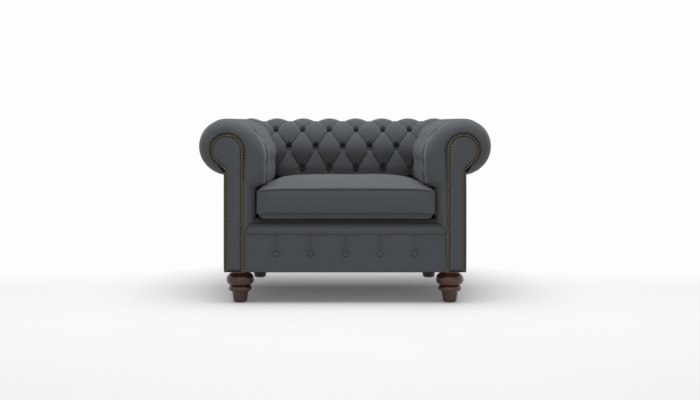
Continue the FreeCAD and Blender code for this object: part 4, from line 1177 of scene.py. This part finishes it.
zip_z = 390.5
tape = block("zip_tape", (-300, 211.4, zip_z - 11.9), (300, 212.9, zip_z + 11.9), 0.6)
bpy.ops.object.mode_set(mode="EDIT")
bpy.ops.mesh.select_all(action="SELECT")
for level in (zip_z - 2.9, zip_z, zip_z + 2.9):
    bpy.ops.mesh.bisect(plane_co=Vector((0, 212, level)) * MM, plane_no=(0, 0, 1))
    bpy.ops.mesh.select_all(action="SELECT")
bpy.ops.object.mode_set(mode="OBJECT")
for vert in tape.data.vertices:
    if abs(vert.co.z - zip_z * MM) < 0.0001 and vert.co.y > 0.2125:
        vert.co.y -= 0.0007
box_cloth(tape)
dress(tape, tape_cloth, body="seat_cushion", stands_for=["cushion_zip"])
tooth = block("tooth", (-0.75, -1.9, -0.3), (0.75, 1.9, 0.9), 0.25, 1)
spots = [((-297 + 2.0 * k, 212.3, zip_z + (0.7 if k % 2 else -0.7)), (0, 1, 0)) for k in range(298)]
teeth = laid_out(tooth, spots, "zip_teeth")
dress(teeth, zip_metal.material, body="seat_cushion")

# %% [markdown]
# ## Deck under the cushion
# When the cushion is out, the deck shows: a flat pad in plain dark lining, because nobody sees it, with a
# strip of the good cloth at the front where it might. The two cloths meet in a seam across the pad.

# %% Lining
lining = cloth_finish("dark_lining", rgb(0.022, 0.024, 0.027), rgb(0.042, 0.045, 0.049),
                      pitch=0.0008, sheen=0.1, roughness=0.8)

# %% Deck pad
seam_y = -276.0
deck_half, deck_front, deck_rear = 384.6, -394.8, 264.8
near_edge = np.array([0, 1.0, 3.6, 7.6])
deck_x = np.concatenate([near_edge - deck_half, np.linspace(-370, 370, 112), (deck_half - near_edge)[::-1]])
deck_y = np.concatenate([deck_front + np.array([0, 1.0, 3.8, 7.8]), np.linspace(-382, seam_y - 8, 16),
                         seam_y + np.linspace(-6, 6, 9), np.linspace(seam_y + 8, 250, 70),
                         [256, 261, 264, deck_rear]])
grid_x, grid_y = np.meshgrid(deck_x, deck_y, indexing="ij")
near = np.minimum(deck_half - np.abs(grid_x), np.minimum(grid_y - deck_front, deck_rear - grid_y))
along_seam = 2.4 * np.exp(-np.power(np.abs(grid_y - seam_y) / 3.0, 1.3))
puckers = 0.5 * np.sin(grid_x / 2.7) * np.exp(-np.abs(grid_y - seam_y) / 9)
waves = 1.3 + 1.3 * slow_waves(grid_x, grid_y, 110, 8.3)
uneven = np.clip(waves + puckers, 0, 3) * np.clip(near / 12, 0, 1)
deck_top = 322.4 - 5 * edge_dip(near, 7.0) - along_seam - uneven
top = np.stack([grid_x, grid_y, deck_top], axis=-1)
under = [np.stack([deck_x, np.full_like(deck_x, place), np.full_like(deck_x, 241.0)], axis=-1)
         for place in (deck_rear, deck_front)]
rings = np.concatenate([top, under[0][:, None], under[1][:, None]], axis=1)
# Painted shade darkens the cloth along the seam across the pad.
deck = tube("deck_cloth", rings, rings[..., :2], np.pad(np.clip(along_seam / 2, 0, 1), ((0, 0), (0, 2))))
dress(deck, lining, stands_for=["deck_pad"])
deck.data.materials.append(charcoal)
for face in deck.data.polygons:
    face.material_index = int(face.center.y < seam_y * MM)

# %% [markdown]
# ## Dust cover
# Underneath, a thin black cloth keeps dust out of the springs. It is turned in and stapled to the rails
# every few centimetres, so its edge is scalloped a little between staples and its middle hangs slightly.

# %% Dust cover sheet
cover_half, cover_front, cover_rear = 452.5, -423.5, 332.5
cover_width, cover_length = 2 * cover_half, cover_rear - cover_front
cover_x = np.concatenate([np.linspace(-cover_half, -315, 36), np.linspace(-300, 300, 61),
                          np.linspace(315, cover_half, 36)])
cover_y = np.concatenate([np.linspace(cover_front, -310, 30), np.linspace(-300, 210, 52),
                          np.linspace(220, cover_rear, 30)])
grid_x, grid_y = np.meshgrid(cover_x, cover_y, indexing="ij")
edge_x, edge_y = cover_half - np.abs(grid_x), np.minimum(grid_y - cover_front, cover_rear - grid_y)
hang = 5.0 * np.sin(math.pi * np.clip(edge_x / cover_width, 0, 1))
hang = hang * np.sin(math.pi * np.clip(edge_y / cover_length, 0, 1))
staples = np.sin(grid_x / 11.0) ** 2 * np.exp(-edge_y / 14)
staples = staples + np.sin(grid_y / 11.0) ** 2 * np.exp(-edge_x / 14)
clear_of_feet = np.ones_like(grid_x)
keep = np.ones_like(grid_x, bool)
cut_radius, hem_radius = 41, 46
for foot_x, foot_y in [(side * x, y) for x, y in foot_places.values() for side in (1, -1)]:
    away = np.hypot(grid_x - foot_x, grid_y - foot_y)
    clear_of_feet = np.minimum(clear_of_feet, np.clip((away - 44) / 40, 0, 1))
    push = hem_radius / np.maximum(away, 1)
    near_rim = (away < 50) & (away > cut_radius)
    grid_x = np.where(near_rim, foot_x + (grid_x - foot_x) * push, grid_x)
    grid_y = np.where(near_rim, foot_y + (grid_y - foot_y) * push, grid_y)
    keep &= away > cut_radius
sheet_z = 121.5 - (hang + 0.4 * staples) * clear_of_feet
points = np.stack([grid_x, grid_y, sheet_z], axis=-1).reshape(-1, 3)
faces = [face for face in grid_faces(len(cover_x), len(cover_y)) if all(keep.ravel()[k] for k in face)]
dust = mesh_piece("dust_cover_cloth", points, faces, points[:, :2])
free_hands()
bpy.context.view_layer.objects.active = dust
dust.select_set(True)
bpy.ops.object.mode_set(mode="EDIT")
bpy.ops.mesh.select_all(action="SELECT")
bpy.ops.mesh.delete_loose(use_verts=True, use_edges=True)
bpy.ops.object.mode_set(mode="OBJECT")
thickness = dust.modifiers.new("thickness", "SOLIDIFY")
thickness.thickness = 0.0006
bpy.ops.object.modifier_apply(modifier="thickness")
black_cloth = cloth_finish("black_dust_cloth", rgb(0.006, 0.006, 0.007), rgb(0.016, 0.016, 0.018),
                           pitch=0.0006, sheen=0.0, roughness=0.95)
dress(dust, black_cloth, stands_for=["dust_cover"])

# %% [markdown]
# ## Finishes of the hidden parts
# The timber, springs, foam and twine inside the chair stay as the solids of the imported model. They are
# never seen while the chair is whole, but every part should look like what it is when a cover is hidden.

# %% Hidden materials
def timber(name, dark, light):
    finish = Finish(name, Specular_IOR_Level=0.35)
    place = place_on_object(finish)
    rings_in_wood = speckle(finish, scaled(finish, place, (5, 60, 60)), 1.0, 4.0)
    fibre = speckle(finish, scaled(finish, place, (30, 600, 600)), 1.0, 2.0)
    figure = (rings_in_wood * 0.7 + fibre * 0.3).within(0.3, 0.7)
    finish.give("Base Color", finish.mixed(figure, dark, light))
    finish.give("Roughness", fibre * 0.2 + 0.55)
    finish.relief(fibre, 0.0003, 0.4)
    return finish.material


def metal(name, dark, light, rough):
    finish = Finish(name, Metallic=1.0)
    marks = speckle(finish, place_on_object(finish), 180.0, 4.0)
    finish.give("Base Color", finish.mixed(marks.within(0.3, 0.7), dark, light))
    finish.give("Roughness", marks * 0.25 + rough)
    return finish.material


def crumbly(name, dark, light, size, depth):
    """Foam, hessian and twine: matt, with pores or fibres of a size."""
    finish = Finish(name, Roughness=0.95, Specular_IOR_Level=0.15)
    pores = speckle(finish, place_on_object(finish), 1 / size, 4.0)
    finish.give("Base Color", finish.mixed(pores.within(0.3, 0.7), dark, light))
    finish.relief(pores, depth, 0.6)
    return finish.material


beech = timber("beech_timber", rgb(0.36, 0.24, 0.14), rgb(0.55, 0.40, 0.25))
bent_board = timber("bent_board", rgb(0.26, 0.18, 0.11), rgb(0.38, 0.28, 0.18))
spring_steel = metal("spring_steel", rgb(0.14, 0.14, 0.145), rgb(0.30, 0.30, 0.31), 0.3)
foam = crumbly("grey_foam", rgb(0.10, 0.10, 0.105), rgb(0.17, 0.17, 0.175), 0.0012, 0.0008)
hessian = crumbly("hessian", rgb(0.20, 0.14, 0.07), rgb(0.34, 0.25, 0.14), 0.002, 0.0006)
twine = crumbly("waxed_twine", rgb(0.25, 0.22, 0.16), rgb(0.42, 0.38, 0.30), 0.001, 0.0004)

# %% Giving them to the solids
hidden_finish = {"liner": bent_board, "foam": foam, "edge_roll": foam, "hessian": hessian,
                 "twine": twine, "spring": spring_steel, "clips": spring_steel,
                 "foot_": spring_steel, "slider": zip_metal.material}
replaced = {name for piece in bpy.data.objects for name in piece.get("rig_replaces", [])}
for name, solid in frame["nodes"].items():
    if name in replaced:
        continue
    chosen = next((finish for word, finish in hidden_finish.items() if word in name), beech)
    solid.data.materials.clear()
    solid.data.materials.append(chosen)
    print(name, chosen.name)

# %% [markdown]
# ## Light, floor and background
# Product photographs of dark chairs are lit by one broad soft light overhead, with a little light from the
# camera's side. Here a large area lamp hangs above and a little in front, a weaker one stands behind the
# camera, and the world gives an even fill. The white around the chair is only what the camera and
# reflections see, so it adds no light: the world's backdrop is a white of strength 1, and the floor runs
# over into the same white with distance. Behind the chair and beside its front it turns white sooner, as
# painted light over part of the chair's shadow; close round the chair it is pale matt and keeps the shadow.

# %% World
world = bpy.data.worlds.new("studio")
bpy.context.scene.world = world
world.use_nodes = True
white = rgb(0.985, 0.985, 0.985)
studio = Nodes(world.node_tree)
fill_light = studio.node("Background", None, {"Color": rgb(0.93, 0.96, 1.0), "Strength": 0.36})
backdrop = studio.node("Background", None, {"Color": white, "Strength": 1.0})
both = studio.node("MixShader", None, {0: studio.seen_directly(), 1: fill_light, 2: backdrop})
studio.put(world.node_tree.nodes["World Output"].inputs["Surface"], both)


# %% Lamps
def lamp(name, place, aim, size, watts):
    bpy.ops.object.light_add(type="AREA", location=place)
    made = bpy.context.object
    made.name = name
    made.data.shape = "RECTANGLE"
    made.data.size, made.data.size_y = size
    made.data.energy = watts
    made.rotation_euler = (Vector(aim) - Vector(place)).to_track_quat("-Z", "Y").to_euler()
    return made


lamp("overhead_softbox", (0, -0.7, 3.4), (0, -0.1, 0.3), (3.2, 2.6), 114)
lamp("front_fill", (0, -4.2, 1.9), (0, 0, 0.45), (3.0, 1.6), 13)

# %% Floor
bpy.ops.mesh.primitive_plane_add(size=60, location=(0, 0, 0))
floor = bpy.context.object
floor.name = "studio_floor"
floor_finish = Finish("pale_floor", Roughness=0.85, Specular_IOR_Level=0.2)
floor_place = place_on_object(floor_finish)
floor_grain = speckle(floor_finish, floor_place, 3.0)
floor_tone = floor_finish.mixed(floor_grain, rgb(0.81, 0.81, 0.81), rgb(0.83, 0.83, 0.83))
floor_finish.give("Base Color", floor_tone)
distance = floor_finish.node("VectorMath", {"operation": "LENGTH"}, {0: floor_place}, out="Value")
floor_x = floor_finish.node("SeparateXYZ", None, {0: floor_place}, out=0).maths("ABSOLUTE")
floor_y = floor_finish.node("SeparateXYZ", None, {0: floor_place}, out=1)
# Painted light: beside the chair's front and from under its rear backwards, the floor is whitened over its
# shadow.
beside = floor_x.within(0.4, 0.9) * floor_y.within(-1.7, -0.8) * 0.5
backdrop_and_painted_light = (distance.within(1.3, 4.5) + beside + floor_y.within(0.0, 0.9)).within(0, 1) * 0.91 + 0.09
glow = floor_finish.node("Emission", None, {"Color": white, "Strength": 1.0})
matt = Amount(floor_finish, floor_finish.shader.outputs["BSDF"])
shares = {0: backdrop_and_painted_light * floor_finish.seen_directly(), 1: matt, 2: glow}
seamless = floor_finish.node("MixShader", None, shares)
floor_finish.put(floor_finish.tree.nodes["Material Output"].inputs["Surface"], seamless)
floor.data.materials.append(floor_finish.material)

# %% View settings
scene = bpy.context.scene
scene.view_settings.view_transform = "Standard"
